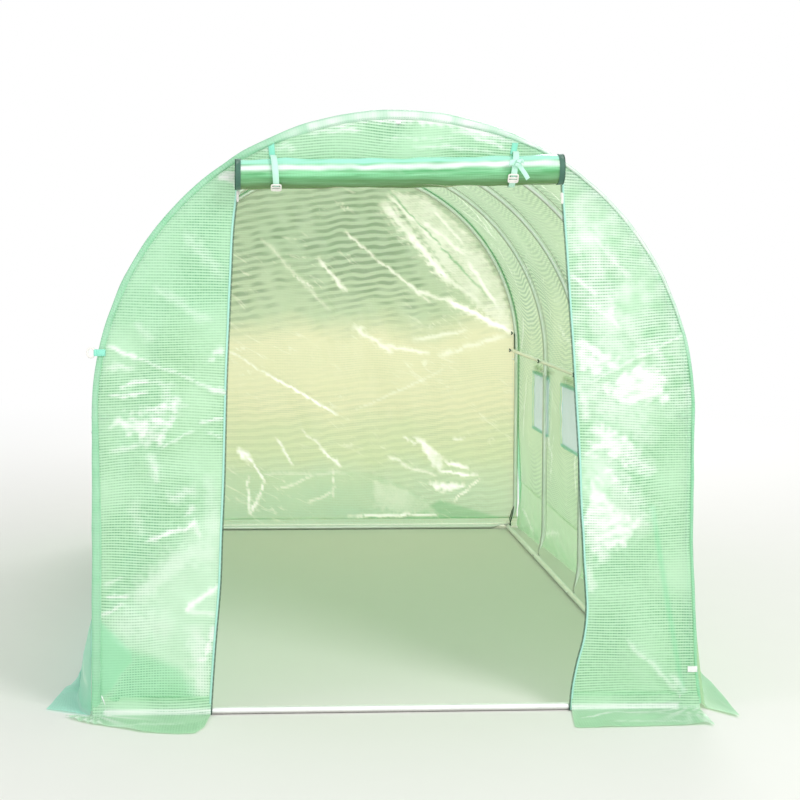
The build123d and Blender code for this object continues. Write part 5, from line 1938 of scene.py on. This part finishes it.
class GREENHOUSE_OT_stage(PieceOperator, bpy.types.Operator):
    """Set up the plain pale floor, the white surroundings and the soft lamps"""

    bl_idname = "greenhouse.stage"
    bl_label = "Stage"

    def execute(self, context):
        scene = context.scene
        scene.view_settings.view_transform = "Standard"
        self.floor(scene)
        self.surroundings(scene)
        for name, place, target, size, power in (
            ("key", (4.4, -7.4, 6.6), (0.1, -0.8, 0.9), 3.2, 350.0),
            ("fill", (-6.5, -4.5, 3.6), (0.0, 0.0, 0.9), 4.0, 90.0),
            ("rear", (2.0, 8.0, 5.5), (0.0, 0.0, 1.0), 4.0, 300.0),
            ("door", (0.2, -9.5, 1.6), (0.0, 0.0, 1.1), 3.5, 60.0),
        ):
            data = bpy.data.lights.new(name, "AREA")
            data.size, data.energy = size, power
            lamp = bpy.data.objects.new(name, data)
            lamp.location = place
            away = np.array(place) - np.array(target)
            lamp.rotation_euler = (
                math.atan2(math.hypot(away[0], away[1]), away[2]), 0.0, math.atan2(away[0], -away[1]))
            scene.collection.objects.link(lamp)
        return {"FINISHED"}

    def floor(self, scene):
        turn = np.linspace(0, math.tau, 65)
        radii = np.concatenate([[0.001], np.linspace(0.5, 60.0, 40)])
        t, r = np.meshgrid(turn, radii)
        points = stacked(np.cos(t) * r, np.sin(t) * r, 0 * r)
        mesh = grid_mesh("floor", points, points[..., :2], True)
        f = Finish("floor")
        place = f.place()
        grain = f.noise(place, 6.0, 3.0)
        far = f.node("ShaderNodeVectorMath", {"operation": "LENGTH"}, {"Vector": place},
                     "Value").step(1.6, 9.5)
        tone = f.blend((grain * 0.06).clamped(), srgb(236, 235, 230), srgb(214, 212, 206))
        lit = f.surface(Base_Color=tone, Roughness=0.85, Specular_IOR_Level=0.2)
        glow = f.node("ShaderNodeEmission", None, {"Color": (1.0, 1.0, 1.0, 1.0), "Strength": 1.0})
        mesh.materials.append(f.done(f.layered(far, lit, glow)))
        floor = bpy.data.objects.new("floor", mesh)
        scene.collection.objects.link(floor)

    def surroundings(self, scene):
        world = bpy.data.worlds.new("white surroundings")
        scene.world = world
        world.use_nodes = True
        world.node_tree.nodes.clear()
        g = Graph(world.node_tree)
        path = g.tree.nodes.new("ShaderNodeLightPath")
        seen = Wire(g, path.outputs["Is Camera Ray"]) + Wire(g, path.outputs["Is Glossy Ray"])
        seen = (seen + Wire(g, path.outputs["Is Transmission Ray"])).clamped()
        light = g.node("ShaderNodeBackground", None, {"Color": (0.97, 0.99, 1.0, 1.0), "Strength": 0.72})
        white = g.node("ShaderNodeBackground", None, {"Color": (1.0, 1.0, 1.0, 1.0), "Strength": 1.0})
        mixed = g.node("ShaderNodeMixShader", None, {0: seen, 1: light, 2: white})
        g.node("ShaderNodeOutputWorld", None, {"Surface": mixed})


PIECES = (
    GREENHOUSE_OT_camera,
    GREENHOUSE_OT_arches,
    GREENHOUSE_OT_legs,
    GREENHOUSE_OT_rails,
    GREENHOUSE_OT_fasteners,
    GREENHOUSE_OT_cover,
    GREENHOUSE_OT_front,
    GREENHOUSE_OT_back,
    GREENHOUSE_OT_hems,
    GREENHOUSE_OT_skirts,
    GREENHOUSE_OT_straps,
    GREENHOUSE_OT_door_roll,
    GREENHOUSE_OT_zips,
    GREENHOUSE_OT_windows,
    GREENHOUSE_OT_trimmings,
    GREENHOUSE_OT_stage,
)


class GREENHOUSE_PT_pieces(bpy.types.Panel):
    """The greenhouse's pieces, sizes and colours"""

    bl_label = "Greenhouse"
    bl_idname = "GREENHOUSE_PT_pieces"
    bl_space_type = "VIEW_3D"
    bl_region_type = "UI"
    bl_category = "Greenhouse"

    def draw(self, context):
        for piece in PIECES:
            self.layout.operator(piece.bl_idname)
        for group in (context.scene.greenhouse_sizes, context.scene.greenhouse_look):
            box = self.layout.box()
            for name in group.__annotations__:
                box.prop(group, name)


CLASSES = (GreenhouseSizes, GreenhouseLook, *PIECES, GREENHOUSE_PT_pieces)


def register():
    for each in CLASSES:
        bpy.utils.register_class(each)
    bpy.types.Scene.greenhouse_sizes = PointerProperty(type=GreenhouseSizes)
    bpy.types.Scene.greenhouse_look = PointerProperty(type=GreenhouseLook)


def unregister():
    del bpy.types.Scene.greenhouse_sizes, bpy.types.Scene.greenhouse_look
    for each in reversed(CLASSES):
        bpy.utils.unregister_class(each)


def main():
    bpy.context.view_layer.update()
    register()
    for piece in PIECES:
        group, name = piece.bl_idname.split(".")
        getattr(getattr(bpy.ops, group), name)()


if __name__ == "__main__":
    main()
